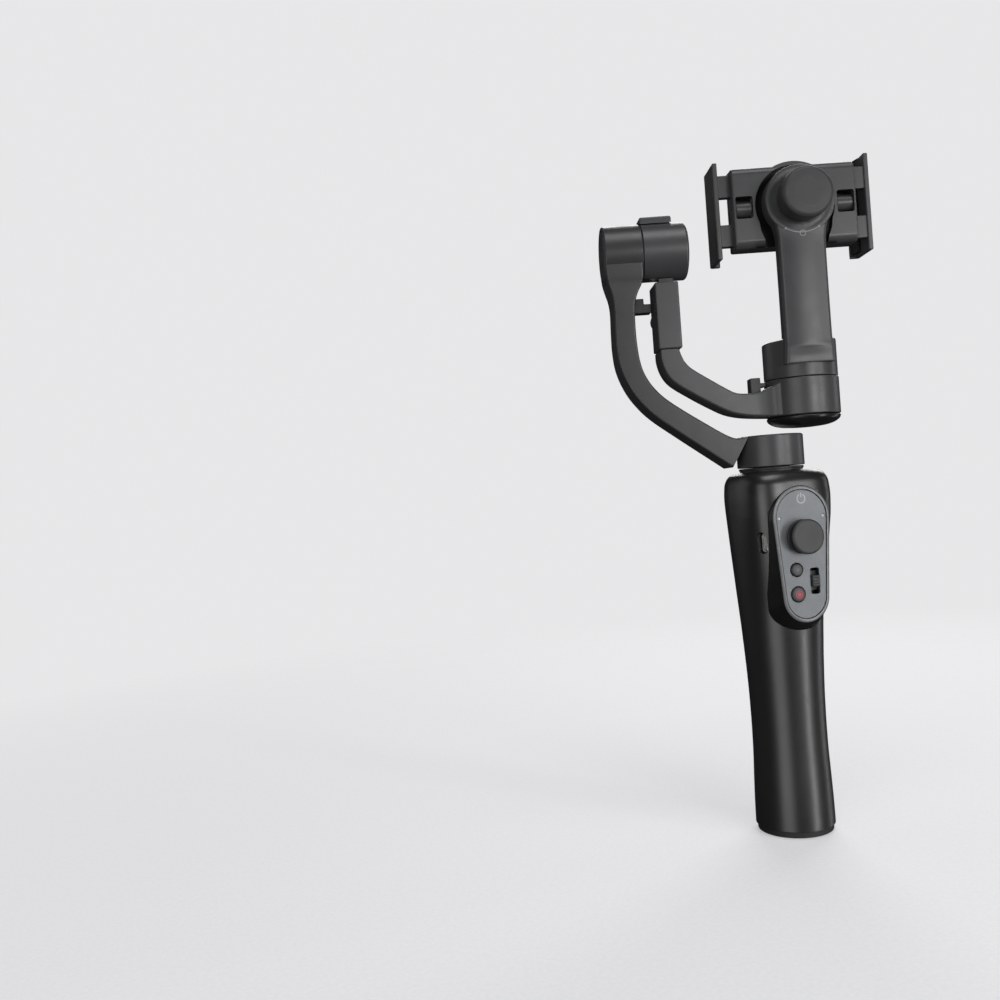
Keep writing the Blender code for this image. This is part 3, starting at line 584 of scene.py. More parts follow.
LOOKS = {
    "soft_touch": grip_look(),
    "gloss_black": plain("gloss_black", roughness=0.30, **GLOSS),
    "gloss_black_lit_rim": pod_look(),
    "panel_grey": panel_look(),
    "satin_grey": plain("satin_grey", **SATIN),
    "satin_marked": holder_look(),
    "satin_shaded_channel": cover_look(),
    "satin_deep": plain("satin_deep", **{**SATIN, "colour": (0.038, 0.0389, 0.04)}),
    "dark_plastic": plain("dark_plastic", (0.026, 0.0264, 0.0272), 0.45, depth=0.015, worn=0.3),
    "button_dark": button_look("button_dark", "mode", (0.060, 0.062, 0.064), (0.13, 0.13, 0.135)),
    "button_red": button_look("button_red", "record", (0.066, 0.063, 0.065), (0.55, 0.05, 0.07)),
    "knob_dark": plain("knob_dark", (0.042, 0.043, 0.0445), 0.50, grain=0.3, depth=0.03, worn=0.4),
    "rubber": plain("rubber", (0.022, 0.022, 0.0226), 0.70, grain=0.35, depth=0.04),
    "light_white": plain("light_white", (0.56, 0.57, 0.57), 0.40, depth=0.004, mottle=0.03),
    "steel": metal("steel", (0.58, 0.58, 0.57), 0.28),
    "plated": metal("plated", (0.90, 0.90, 0.88), 0.25, metallic=0.7),
    "brass": metal("brass", (0.62, 0.43, 0.16), 0.32),
    "copper": metal("copper", (0.60, 0.27, 0.12), 0.40),
    "circuit_board": board_look(),
    "battery_can": wrap_look(),
}


# ------ grip

# The grip's outer side as (radius, height, corner radius), and its inner side from bottom to top.
GRIP_OUTSIDE = (
    (12.5, 153.0), (15.8, 153.0, 2), (18.3, 151.9, 5), (20.0, 149.0, 12), (20.6, 143.0, 60),
    (20.3, 136.0, 200), (19.3, 120.0, 400), (18.1, 102.0, 400), (17.1, 88.0, 400), (16.3, 74.0, 400),
    (15.7, 60.0, 400), (15.5, 46.0, 400), (15.6, 34.0, 400), (16.0, 24.0, 400), (16.4, 12.0, 400),
    (16.5, FOOT_HEIGHT, 0.25), (15.8, FOOT_HEIGHT - 0.05, 0.1), (15.7, 0.4, 0.35), (14.5, 0.4),
)
GRIP_INSIDE = (
    (14.5, 8.0), (14.3, 8.4), (14.3, 70.0), (15.3, 88.0), (17.0, 112.0), (18.6, 136.0), (18.8, 144.0),
    (18.2, 148.6), (16.4, 150.8), (12.5, 150.8),
)
# Towards the panel the grip's head swells to this share of its radius, with squarer corners.
HEAD_FROM, HEAD_TO = 98.0, 134.0
HEAD_REACH, HEAD_POWER = 1.055, 3.2

# The control pod's side, as (margin round the panel, distance to the front, drop of its lower end).
POD_SIDE = (
    (0.5, 21.9, 0.0), (1.05, 21.9, 0.0), (1.35, 21.75, 0.1), (1.55, 21.4, 0.2), (1.75, 20.8, 0.5),
    (2.0, 19.7, 1.1), (2.3, 18.3, 1.9), (2.6, 16.8, 2.6), (3.0, 15.0, 3.2), (3.5, 13.0, 3.7),
    (4.0, 11.0, 4.0),
)
USB_ACROSS, USB_OUT, USB_FACING = 8.5, 18.9, -52.0


def swelled(radius, height, angle):
    """The grip's radius in a direction, measured from the panel's, where its head is squarer."""
    share = min(max((height - HEAD_FROM) / (HEAD_TO - HEAD_FROM), 0.0), 1.0)
    share *= share * (3 - 2 * share)
    ahead, aside = math.cos(angle), abs(math.sin(angle))
    if ahead <= 0:
        return radius
    power = 2 + (HEAD_POWER - 2) * share
    reach = 1 + (HEAD_REACH - 1) * share
    return radius * (aside**power + (ahead / reach) ** power) ** (-1 / power)


def grip_solid(steps=160):
    outside = rounded(GRIP_OUTSIDE, closed=False, steps=6)
    bm = bmesh.new()
    rings = []
    for index, (radius, height) in enumerate([*outside, *GRIP_INSIDE]):
        ring = []
        for step in range(steps):
            angle = 2 * math.pi * step / steps
            reach = swelled(radius, height, angle) if 0 < index < len(outside) else radius
            ring.append(bm.verts.new((reach * math.sin(angle), -reach * math.cos(angle), height)))
        rings.append(ring)
    skin(bm, rings, closed=True)
    return build("grip_shell_fine", bm, turn=PANEL_TURN)


def pod_solid(name, grow=0.0):
    """The pod's outer form: outlines that widen from the rim back into the grip."""
    sections = []
    for margin, front, drop in POD_SIDE:
        sections.append([(x, -front, z) for x, z in tapered_stadium(margin + grow, drop)])
    if grow:
        sections.insert(0, [(x, -30.0, z) for x, _, z in sections[0]])
    return loft(name, sections, turn=PANEL_TURN)


def usb_opening():
    opening = stadium(1.85, USB_HEIGHT - 4.5, USB_HEIGHT + 4.5)
    return slab("usb", opening, 15.5, 30.0, 0, (USB_ACROSS, 0, 0), turn=USB_FACING)


def make_grip():
    shell = grip_solid()
    cut(shell, pod_solid("pod_window", 0.14), usb_opening())
    soften(shell, 0.12, segments=2)
    piece(shell, "grip", "soft_touch", "grip_shell", smooth_below=30)


def make_base():
    rim = [
        (8.0, 10.0), (8.0, 6.0), (14.2, 6.0), (14.2, 0.0, 0.8), (11.9, 0.0), (11.7, 0.5), (11.0, 0.5),
        (10.8, 0.0), (7.0, 0.0), (6.8, 0.35), (6.4, 0.35), (6.2, 0.0), (5.3, 0.0, 0.3), (5.3, 10.0),
    ]
    cap = lathe("grip_base_cap_fine", rounded(rim))
    for number, side in enumerate((-1, 1), 1):
        make_base_screw(cap, number, side * 9.6)
    soften(cap, 0.1, segments=2)
    piece(cap, "grip", "dark_plastic", "grip_base_cap")


def make_base_screw(cap, number, across):
    """A countersunk screw with a cross slot, and its hole in the cap."""
    at = (across, 0, 0)
    cut(cap, rod(2.6, -1.0, 2.4, at, steps=48))
    head = [(0, 8.6), (1.3, 8.6), (1.3, 2.1), (2.3, 2.1, 0.2), (2.3, 0.7, 0.5), (0, 0.5)]
    screw = turned(f"base_screw_{number}_fine", head, at, steps=48)
    slots = []
    for long, wide in ((1.4, 0.25), (0.25, 1.4)):
        slots.append(block("slot", (across - long, -wide, 0), (across + long, wide, 1.3), 0))
    cut(screw, *slots)
    piece(screw, "grip", "steel", f"base_screw_{number}")


def make_tripod_insert():
    thread = [(5.0, 9.8), (5.0, 0.4, 0.2), (3.5, 0.4)]
    for turn in range(11):
        low = 0.8 + 0.8 * turn
        thread += [(3.5, low), (3.15, low + 0.4)]
    insert = lathe("tripod_insert_fine", rounded([*thread, (3.2, 9.8)]), steps=64)
    piece(insert, "grip", "brass", "tripod_insert")


def panel_cutters():
    """The openings for the stick, buttons, slider and lights, through the pod's front."""
    outlines = [circle((0, STICK_HEIGHT), 5.6)]
    for across, height, radius in BUTTONS.values():
        outlines.append(circle((across, height), radius + 0.4))
    across, height = ZOOM
    outlines.append(rectangle((across - 2.1, height - 5.4), (across + 2.1, height + 5.4), 1.0))
    for across in LIGHTS.values():
        outlines.append(circle((across, LIGHT_HEIGHT), 0.75, 32))
    return [slab("opening", outline, 17.0, 30.0, 0, turn=PANEL_TURN) for outline in outlines]


def make_pod():
    pod = pod_solid("control_pod_fine")
    hollow = slab("hollow", tapered_stadium(1.0), 5.0, 19.3, 0, turn=PANEL_TURN)
    recess = slab("recess", tapered_stadium(0.22), PANEL_BACK - 0.25, 30.0, 0, turn=PANEL_TURN)
    cut(pod, hollow, recess, usb_opening(), *panel_cutters())
    soften(pod, 0.12, segments=2)
    piece(pod, "grip", "gloss_black_lit_rim", "control_pod_cover", smooth_below=30)
    outline = tapered_stadium(0.0)
    sheet = slab("control_panel_fine", outline, PANEL_BACK, PANEL_FRONT, 0.3, turn=PANEL_TURN)
    cut(sheet, *panel_cutters())
    soften(sheet, 0.14, segments=2)
    piece(sheet, "grip", "panel_grey", "control_panel_plate")


def make_stick():
    at = (0, 0, STICK_HEIGHT)
    bezel = rounded([(6.0, 22.5, 0.3), (6.9, 22.3, 0.5), (7.1, 21.72), (5.0, 21.72), (5.0, 22.2, 0.3)])
    ring = lathe("stick_bezel", bezel, at, "front", PANEL_TURN)
    piece(ring, "grip", "dark_plastic")
    cap = [
        (0, 26.5), (4.5, 26.5, 6), (6.4, 26.6, 0.8), (7.2, 26.1, 0.6), (7.15, 25.1, 0.5), (6.4, 24.5, 0.3),
        (2.2, 24.5, 0.8), (2.0, 18.0, 0.3), (1.5, 17.4), (1.5, 15.4), (0, 15.4),
    ]
    ribs = (48, 0.12, 24.9, 25.9)
    stick = turned("joystick_cap_fine", cap, at, "front", PANEL_TURN, steps=192, ribs=ribs)
    piece(stick, "stick_cap", "knob_dark", "joystick_cap")


def make_buttons():
    for name, (across, height, radius) in BUTTONS.items():
        profile = [
            (0, 22.75), (radius * 0.6, 22.7, 3), (radius - 0.3, 22.5, 0.6), (radius, 22.0, 0.5),
            (radius, 18.9), (radius + 0.8, 18.9), (radius + 0.8, 18.0), (1.2, 18.0), (1.2, 15.6), (0, 15.6),
        ]
        button = turned(f"{name}_button_fine", profile, (across, 0, height), "front", PANEL_TURN, 64)
        look = "button_red" if name == "record" else "button_dark"
        piece(button, f"{name}_button", look, f"{name}_button")


def make_zoom_slider():
    across, height = ZOOM
    low, high = (across - 2.4, -19.0, height - 4.0), (across + 2.4, -17.8, height + 4.0)
    lever = block("zoom_slider_fine", low, high, 0.1, PANEL_TURN)
    top = [(-2.3, 17.9), (-2.3, 22.6, 0.3), (-1.7, 23.0, 0.3)]
    for number in (-1, 0, 1):
        middle = number * 1.15
        top += [(middle - 0.35, 23.0, 0.15), (middle, 22.55, 0.1), (middle + 0.35, 23.0, 0.15)]
    top += [(1.7, 23.0, 0.3), (2.3, 22.6, 0.3), (2.3, 17.9)]
    section = rounded([(height + z, -y, *r) for z, y, *r in top], steps=3)
    ends = [[(across + x, y, z) for z, y in section] for x in (-1.6, 1.6)]
    join(lever, loft("thumb", ends, PANEL_TURN))
    soften(lever, 0.15, segments=2)
    piece(lever, "zoom_slider", "button_dark", "zoom_slider")


def make_status_lights():
    dome = [(0, 21.66), (0.4, 21.64, 0.2), (0.65, 21.5, 0.1), (0.65, 13.3), (0, 13.3)]
    for side, across in LIGHTS.items():
        name, at = f"status_light_{side}", (across, 0, LIGHT_HEIGHT)
        lens = turned(f"{name}_fine", dome, at, "front", PANEL_TURN, 32)
        piece(lens, "grip", "light_white", name)


def make_usb():
    at = (USB_ACROSS, 0, 0)
    low, high = USB_HEIGHT - 3.9, USB_HEIGHT + 3.9
    outline = stadium(1.4, low, high)
    shell = slab("usb_socket_fine", outline, 15.6, USB_OUT - 0.2, 0.12, at, turn=USB_FACING)
    mouth = stadium(1.12, low + 0.28, high - 0.28)
    cut(shell, slab("bore", mouth, 16.2, 30.0, 0, at, turn=USB_FACING))
    low = (USB_ACROSS - 0.35, -USB_OUT + 1.2, USB_HEIGHT - 2.7)
    high = (USB_ACROSS + 0.35, -15.9, USB_HEIGHT + 2.7)
    join(shell, block("tongue", low, high, 0.1, USB_FACING))
    piece(shell, "grip", "plated", "usb_socket")


# ------ motors


def cup(name, radius, inner, length, depth, at, facing, edge=0.9):
    """A motor's turning housing: a cup whose mouth is at the parting plane."""
    outside = [(0, length), (radius, length, edge), (radius, 0.15, 0.35), (inner, 0.15)]
    return turned(name, [*outside, (inner, depth), (0, depth)], at, facing, steps=128)


def make_pan_motor():
    at = (0, 0, PAN_PARTING)
    mount = [
        (5.9, 8.45), (5.9, -0.15), (13.5, -0.15, 0.4), (13.5, -1.0, 0.2), (13.1, -1.2), (13.1, -1.75),
        (12.1, -1.75), (12.1, -4.6), (5.0, -4.6), (5.0, 8.45),
    ]
    collar = lathe("pan_motor_mount_fine", rounded(mount), at)
    piece(collar, "grip", "dark_plastic", "pan_motor_mount")
    shell = cup("pan_motor_housing_fine", 14.0, 12.4, 13.45, 11.85, at, "up", 0.8)
    piece(shell, "pan_arm", "satin_grey", "pan_motor_housing")


def make_roll_motor():
    at = (ROLL_PARTING, 0, ROLL_HEIGHT)
    shell = cup("roll_motor_housing_fine", 12.2, 10.9, 19.2, 17.6, at, "right", 1.3)
    cut(shell, block("notch", (-50.5, -9, 236), (-43.5, 9, 238.4), 0))
    soften(shell, 0.2)
    piece(shell, "roll_carrier", "satin_grey", "roll_motor_housing")
    cap = [
        (0, 16.6), (4.0, 16.6), (4.1, 16.4), (4.5, 16.4), (4.6, 16.6), (10.6, 16.6, 0.8), (10.6, 14.9),
        (0, 14.9),
    ]
    cover = turned("roll_motor_cap_fine", cap, at, "left")
    piece(cover, "pan_arm", "satin_deep", "roll_motor_cap")


def make_tilt_motor():
    at = (TILT_X, 0, TILT_PARTING)
    shell = cup("tilt_motor_housing_fine", 15.3, 13.8, 16.1, 14.4, at, "up")
    piece(shell, "holder", "satin_grey", "tilt_motor_housing")
    dome = [
        (0, 175.7), (15.0, 175.7, 0.2), (15.4, 175.2, 0.3), (15.0, 174.0, 2.0), (13.2, 172.6, 6.0),
        (10.0, 171.6, 14.0), (5.0, 171.15, 20.0), (2.6, 171.1), (2.5, 171.3), (2.1, 171.3), (2.0, 171.1),
        (0, 171.1),
    ]
    cover = turned("tilt_motor_cap_fine", dome, (TILT_X, 0, 0), steps=128)
    piece(cover, "roll_arm", "gloss_black", "tilt_motor_cap")


# ------ arms


def sweep(name, stations, corner=0.8):
    """A bar through (left x, left z, right x, right z, half depth) stations, with rounded corners."""
    sections = []
    for left_x, left_z, right_x, right_z, half in smooth_through(stations):
        left, right = Vector((left_x, left_z)), Vector((right_x, right_z))
        wide = (right - left).length / 2
        across = (right - left).normalized()
        middle = (left + right) / 2
        ring = []
        for sign_x, sign_y, start in ((1, 1, 0), (-1, 1, 90), (-1, -1, 180), (1, -1, 270)):
            centre = (sign_x * (wide - corner), sign_y * (half - corner))
            for a, b in arc(centre, corner, start, start + 90, 5):
                spot = middle + across * a
                ring.append((spot.x, b, spot.y))
        sections.append(ring)
    return loft(name, sections)


PAN_BAR = (
    (-18.3, 155.8, -11.0, 168.4, 9.5), (-24.6, 160.5, -17.6, 168.4, 9.5), (-38.6, 171.0, -30.2, 176.3, 9.5),
    (-49.6, 179.7, -43.0, 185.5, 9.5), (-56.2, 187.2, -49.0, 191.6, 9.5), (-60.2, 194.2, -52.5, 197.6, 9.5),
    (-62.7, 201.6, -54.1, 203.4, 9.5), (-63.6, 209.6, -54.8, 210.2, 9.5), (-63.6, 218.0, -55.0, 218.0, 9.5),
    (-63.4, 226.5, -54.6, 226.5, 9.5), (-63.9, 231.5, -53.3, 231.5, 9.6), (-65.1, 236.0, -51.2, 235.6, 9.9),
    (-65.8, 239.5, -50.3, 239.3, 10.5), (-66.1, 244.0, -50.3, 244.0, 11.1),
)


def make_pan_arm():
    at = (ROLL_PARTING, 0, ROLL_HEIGHT)
    bar = sweep("pan_arm_fine", PAN_BAR)
    ring = [(0, 16.4), (12.4, 16.4, 0.8), (12.4, 0.15, 0.4), (0, 0.15)]
    join(bar, turned("ring", ring, at, "left", steps=128))
    bore = rod(10.9, -2.0, 20.0, at, "left")
    saddle = rod(14.2, 150.0, 175.0, steps=128)
    cut(bar, bore, saddle)
    soften(bar, 0.25)
    piece(bar, "pan_arm", "satin_deep", "pan_arm_frame")
    outline = [
        (-54.4, 224.2), (-46.9, 224.2, 0.5), (-46.9, 228.0, 0.5), (-50.0, 228.0, 0.3), (-50.0, 230.4, 0.4),
        (-53.2, 230.4, 0.3), (-54.0, 228.0),
    ]
    stop = slab("roll_limit_stop_fine", rounded(outline), -3.0, 3.0, 0.35)
    piece(stop, "pan_arm", "dark_plastic", "roll_limit_stop")


def make_slide_channel():
    axis = (ROLL_PARTING, 0, ROLL_HEIGHT)
    sleeve = block("arm_slide_channel_fine", (-45.6, -8.0, 207.7), (-35.6, 8.0, 236.0), 0.7, steps=4)
    join(sleeve, block("neck", (-43.2, -4.0, 235.0), (-37.0, 4.0, 239.0), 0.3))
    saddle = rod(12.5, -2.0, 22.0, axis, "right")
    pocket = block("pocket", (-44.8, -6.6, 206.0), (-37.2, 6.6, 233.0), 0.5)
    hole = rod(2.0, 4.0, 10.0, LOCK_AT, "back", steps=48)
    cut(sleeve, saddle, pocket, hole)
    soften(sleeve, 0.15, segments=2)
    piece(sleeve, "roll_carrier", "satin_grey", "arm_slide_channel")
    tab = block("roll_housing_tab_fine", (-49.9, -5.0, 260.5), (-36.2, 5.0, 264.6), 0.9, steps=4)
    cut(tab, rod(12.7, -4.0, 20.0, axis, "right"))
    soften(tab, 0.2, segments=2)
    piece(tab, "roll_carrier", "satin_grey", "roll_housing_tab")


def make_lock_screw():
    profile = [
        (0, 12.3), (2.6, 12.3), (2.9, 12.4), (4.5, 12.4, 0.5), (4.5, 8.4, 0.5), (1.7, 8.4, 0.2), (1.7, 6.5),
        (0, 6.5),
    ]
    ribs = (24, 0.25, 8.8, 12.0)
    screw = turned("arm_lock_screw_fine", profile, LOCK_AT, "back", steps=144, ribs=ribs)
    piece(screw, "lock_screw", "dark_plastic", "arm_lock_screw")


ROLL_BAR = (
    (-45.1, 207.3, -37.1, 207.3, 8.0), (-44.9, 203.0, -36.3, 204.6, 8.0), (-43.2, 197.6, -34.9, 201.6, 8.0),
    (-39.6, 192.9, -32.0, 198.5, 8.0), (-31.4, 187.2, -24.6, 193.4, 8.0), (-23.3, 182.2, -18.5, 189.4, 8.0),
    (-17.2, 179.0, -14.3, 187.2, 8.0), (-11.0, 177.3, -9.2, 186.6, 8.0), (-4.0, 176.5, -4.2, 186.9, 8.05),
    (0.5, 176.25, 0.2, 188.8, 8.6), (3.0, 176.15, 3.0, 190.2, 9.9), (6.5, 176.1, 6.5, 191.2, 11.6),
)


def make_roll_arm():
    at = (TILT_X, 0, 0)
    bar = sweep("roll_arm_fine", ROLL_BAR)
    tongue = block("tongue", (-44.4, -6.2, 205.5), (-37.6, 6.2, 231.0), 0.4)
    ring = [(0, 191.45), (15.5, 191.45, 0.35), (15.5, 176.0, 0.5), (0, 176.0)]
    join(bar, tongue, turned("ring", ring, at, steps=144))
    cut(bar, rod(13.9, 170.0, 195.0, at))
    soften(bar, 0.2)
    piece(bar, "roll_arm", "satin_grey", "roll_arm_frame")
    outline = [
        (-7.0, 186.2), (-2.7, 187.0), (-2.7, 189.1, 0.2), (-0.4, 189.3, 0.3), (-0.4, 191.0, 0.4),
        (-2.7, 191.0, 0.2), (-2.7, 193.3, 0.4), (-7.0, 193.3, 0.5),
    ]
    stop = slab("tilt_limit_stop_fine", rounded(outline), -3.0, 3.0, 0.35)
    piece(stop, "roll_arm", "dark_plastic", "tilt_limit_stop")


# ------ phone holder

# The upright arm below its head: height, half width, front distance, fall of the front at the sides.
HOLDER_ROWS = (
    (197.0, 10.5, 15.9, 0.2), (197.4, 10.5, 16.15, 0.2), (200.0, 10.3, 16.3, 0.3), (202.8, 10.1, 16.75, 0.6),
    (204.4, 10.0, 17.0, 1.0), (208.0, 9.9, 17.0, 1.3), (225.0, 9.85, 17.0, 1.3), (243.0, 9.9, 17.0, 1.3),
    (249.0, 9.95, 17.0, 1.0), (252.5, 10.4, 17.0, 0.5), (255.5, 11.2, 17.0, 0.15), (259.0, 12.4, 16.95, 0.05),
)


def holder_section(height, half, front, fall):
    """A level slice: a crowned front, large front corners, small rear ones and a flat back."""
    back, big, small, spans = 9.7, 1.8, 0.6, 24
    ring = []
    for step in range(spans + 1):
        x = -1 + 2 * step / spans
        ring.append((x * (half - big), front - fall * (x * (half - big) / half) ** 2))
    side = front - fall * ((half - big) / half) ** 2
    ring += arc((half - big, side - big), big, 78, 0, 6)
    ring += arc((half - small, back + small), small, 0, -90, 4)
    ring += arc((small - half, back + small), small, 270, 180, 4)
    ring += arc((big - half, side - big), big, 180, 102, 6)
    return [(TILT_X + x, -y, height) for x, y in ring]


def make_holder_arm():
    at = (TILT_X, 0, 0)
    arm = loft("holder_arm_fine", [holder_section(*row) for row in smooth_through(HOLDER_ROWS, 5)])
    head = [
        (0, 17.0), (10.9, 17.0), (11.2, 16.85), (12.9, 17.0, 0.5), (14.5, 17.0, 1.3), (14.5, 9.7, 0.7),
        (0, 9.7),
    ]
    join(arm, turned("head", head, PIVOT, "front", steps=144))
    saddle = rod(15.6, 195.0, 208.0, at, steps=128)
    hole = rod(2.8, 5.0, 30.0, PIVOT, "front", steps=48)
    recess = slab("recess", stadium(7.9, 210.7, 248.3), 5.0, 11.0, 0, at)
    pocket = slab("pocket", stadium(6.3, 212.5, 246.5), 5.0, 15.0, 0, at)
    cut(arm, saddle, hole, recess, pocket)
    soften(arm, 0.2)
    piece(arm, "holder", "satin_marked", "holder_arm", smooth_below=32)


def make_holder_back():
    at = (TILT_X, 0, 0)
    cover = slab("holder_back_cover_fine", stadium(7.6, 211.0, 248.0), 9.7, 10.7, 0.3, at)
    groove = slab("groove", stadium(6.2, 212.4, 246.6), 9.0, 9.85, 0, at)
    core = slab("core", stadium(5.9, 212.7, 246.3), 8.0, 10.5, 0, at)
    cut(groove, core)
    cut(cover, groove)
    piece(cover, "holder", "dark_plastic", "holder_arm_back_cover")


def make_knob():
    profile = [
        (0, 28.4), (6.0, 28.35, 6), (9.2, 28.15, 1.5), (10.35, 27.2, 1.2), (10.5, 26.0, 2), (10.1, 21.0, 8),
        (9.6, 17.4, 0.3), (2.5, 17.4, 0.3), (2.5, 4.6), (0, 4.6),
    ]
    knob = lathe("clamp_knob_fine", rounded(profile, closed=False, steps=6), PIVOT, "front", steps=240)
    piece(knob, "knob", "knob_dark", "clamp_knob")


def channel_outline():
    """The recess round the holder's head, open downwards, about the pivot."""
    top = list(arc((0, 0), CHANNEL_RADIUS, -24, 204, 49))
    left = rounded([top[-1], (-15.0, -10.6, 10), (-13.4, -14.2, 6), (-13.2, -17.2, 1)], closed=False)
    left.append((-13.2, -20.0))
    right = [(-x, z) for x, z in reversed(left)]
    return [*top, *left[1:], *right[:-1]]


def clamp_shell():
    """The cover before it is cut: a hollow box with rounded long edges, open at the back."""
    half_width, half_height = CLAMP_HALF
    left, right = TILT_X - half_width, TILT_X + half_width
    front_edge = [(-half_height, -9.2, 3.4), (half_height, -9.2, 3.4)]
    back_edge = [(half_height, -1.3, 0.3), (-half_height, -1.3, 0.3)]
    profile = rounded([*front_edge, *back_edge], steps=8)
    outline = [(-(PIVOT[2] + z), y) for z, y in profile]
    cover = slab("clamp_cover_fine", outline, left, right, 0.9, facing="right")
    low = (left + 1.0, -7.6, PIVOT[2] - half_height + 1.6)
    high = (right - 1.0, 1.0, PIVOT[2] + half_height - 1.6)
    return cut(cover, block("hollow", low, high, 1.2))


def make_clamp_cover():
    cover = clamp_shell()
    join(cover, slab("floor", circle((0, 0), 18.4), 5.9, 8.4, 0, PIVOT))
    low, high = (TILT_X - 15.6, -8.4, PIVOT[2] - 15.8), (TILT_X + 15.6, -5.9, PIVOT[2])
    join(cover, block("skirt", low, high, 0))
    join(cover, rod(4.6, 4.2, 8.5, PIVOT, "front", steps=64))
    cut(cover, slab("channel", channel_outline(), 6.9, 14.0, 0, PIVOT))
    cut(cover, rod(2.8, 2.0, 12.0, PIVOT, "front", steps=48))
    left, right = TILT_X - CLAMP_HALF[0] - 2, TILT_X + CLAMP_HALF[0] + 2
    for low_z, high_z in ((5.4, 15.5), (-15.5, -5.4)):
        low, high = (left, -5.5, PIVOT[2] + low_z), (right, 1.0, PIVOT[2] + high_z)
        cut(cover, block("arm_slot", low, high, 0))
    near, far, half = WINDOW
    for side in (-1, 1):
        low_x, high_x = sorted((TILT_X + side * near, TILT_X + side * far))
        outline = rectangle((low_x, PIVOT[2] - half), (high_x, PIVOT[2] + half), 0.9)
        cut(cover, slab("window", outline, 7.0, 12.0, 0))
    soften(cover, 0.22)
    piece(cover, "clamp", "satin_shaded_channel", "clamp_front_cover", smooth_below=32)


def make_clamp_back():
    half_width, half_height = CLAMP_HALF
    low = (TILT_X - half_width, -1.0, PIVOT[2] - half_height)
    high = (TILT_X + half_width, 2.0, PIVOT[2] + half_height)
    back = block("clamp_frame_fine", low, high, 0.8, steps=4)
    join(back, rod(1.6, 0.5, 3.2, PIVOT, "front", steps=32))
    piece(back, "clamp", "satin_deep", "clamp_frame")


def make_spring_barrels():
    profile = [(0, 3.4), (3.5, 3.4, 0.4), (3.5, -3.4, 0.4), (0, -3.4)]
    for side, name in ((-1, "spring_barrel_left"), (1, "spring_barrel_right")):
        middle = (TILT_X + side * 21.3, -4.9, PIVOT[2])
        barrel = turned(f"{name}_fine", profile, middle, "right", steps=64)
        piece(barrel, "clamp", "satin_grey", name)


def make_rest_pad():
    low, high = (TILT_X - 21, 2.3, PIVOT[2] - 13), (TILT_X + 21, 3.4, PIVOT[2] + 13)
    pad = block("clamp_rest_pad_fine", low, high, 0.4)
    grooves = []
    for number in range(-4, 5):
        height = PIVOT[2] + 2.7 * number
        low, high = (TILT_X - 19, 3.15, height - 0.4), (TILT_X + 19, 4.0, height + 0.4)
        grooves.append(block("groove", low, high, 0.1))
    cut(pad, *grooves)
    soften(pad, 0.12, segments=2)
    piece(pad, "clamp", "rubber", "clamp_rest_pad")


def rack_outline(side):
    """The long arm, with its teeth over the pinion."""
    pitch = 2 * math.pi * 5.7 / 12
    points = [(-31.2, 5.8), (-7.0, 5.8), (-6.0, 6.85)]
    for number in range(6):
        middle = (number - 1.5) * pitch
        points += [(middle - 1.0, 6.85), (middle - 0.3, 4.9), (middle + 0.3, 4.9), (middle + 1.0, 6.85)]
    points += [(12.0, 6.85), (12.0, 15.1), (-31.2, 15.1)]
    return [(-side * x, -side * z) for x, z in points]


def make_jaw(name, side):
    section = [
        (33.0, -6.0, 0.5), (33.0, 11.2, 0.5), (32.2, 12.0, 0.5), (28.6, 12.0, 0.5), (28.6, 10.4, 0.4),
        (31.0, 10.4, 0.5), (31.0, -6.0, 0.5),
    ]
    outline = rounded([(side * x, y, r) for x, y, r in section])
    jaw = slab(f"{name}_fine", outline, PIVOT[2] - 20.5, PIVOT[2] + 20.5, 0.5, (TILT_X, 0, 0), "up")
    long_arm = slab("long_arm", rack_outline(side), 1.5, 5.2, 0.2, PIVOT)
    short = rectangle((side * 14.0, side * 5.8), (side * 31.2, side * 15.1), 0.6)
    join(jaw, long_arm, slab("short_arm", short, 1.5, 5.2, 0.3, PIVOT))
    soften(jaw, 0.2, segments=2)
    piece(jaw, name, "satin_grey", name, slot="dark_plastic")


def make_jaw_pad(name, side):
    inner = TILT_X + side * 29.5
    near, far = sorted((inner, TILT_X + side * 30.7))
    pad = block(f"{name}_pad_fine", (near, 3.8, PIVOT[2] - 19), (far, 10.0, PIVOT[2] + 19), 0.3)
    grooves = []
    for number in range(-7, 8):
        height = PIVOT[2] + 2.4 * number
        low, high = (inner - 0.3, 3.0, height - 0.35), (inner + 0.3, 11.0, height + 0.35)
        grooves.append(block("groove", low, high, 0))
    cut(pad, *grooves)
    soften(pad, 0.1, segments=2)
    piece(pad, name, "rubber", f"{name}_pad")


# ------ pieces that stay as they are

MOTORS = ("pan", "roll", "tilt")
STEEL_PARTS = ("magnet_ring", "bearing", "shaft")
INNER_LOOKS = {
    "dark_plastic": [
        "battery_sleeve", "joystick_base", "roll_motor_mount", "tilt_motor_mount", "jaw_pinion",
    ],
    "steel": ["joystick_ring", *(f"{motor}_{part}" for motor in MOTORS for part in STEEL_PARTS)],
    "copper": [f"{motor}_stator_core" for motor in MOTORS],
    "circuit_board": ["control_board", "motion_sensor_board"],
    "battery_can": ["battery_cell"],
}


def dress_inner_nodes():
    for look, names in INNER_LOOKS.items():
        for name in names:
            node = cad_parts[name]
            node.data.materials.clear()
            node.data.materials.append(LOOKS[look])


# ------ stage


LENS, SENSOR, CAMERA_ROLL = 36.9, 36.0, 4.0
CAMERA_AT = (-0.117, -0.440, 0.149)
AIM = (-0.02, 0.0, 0.15)
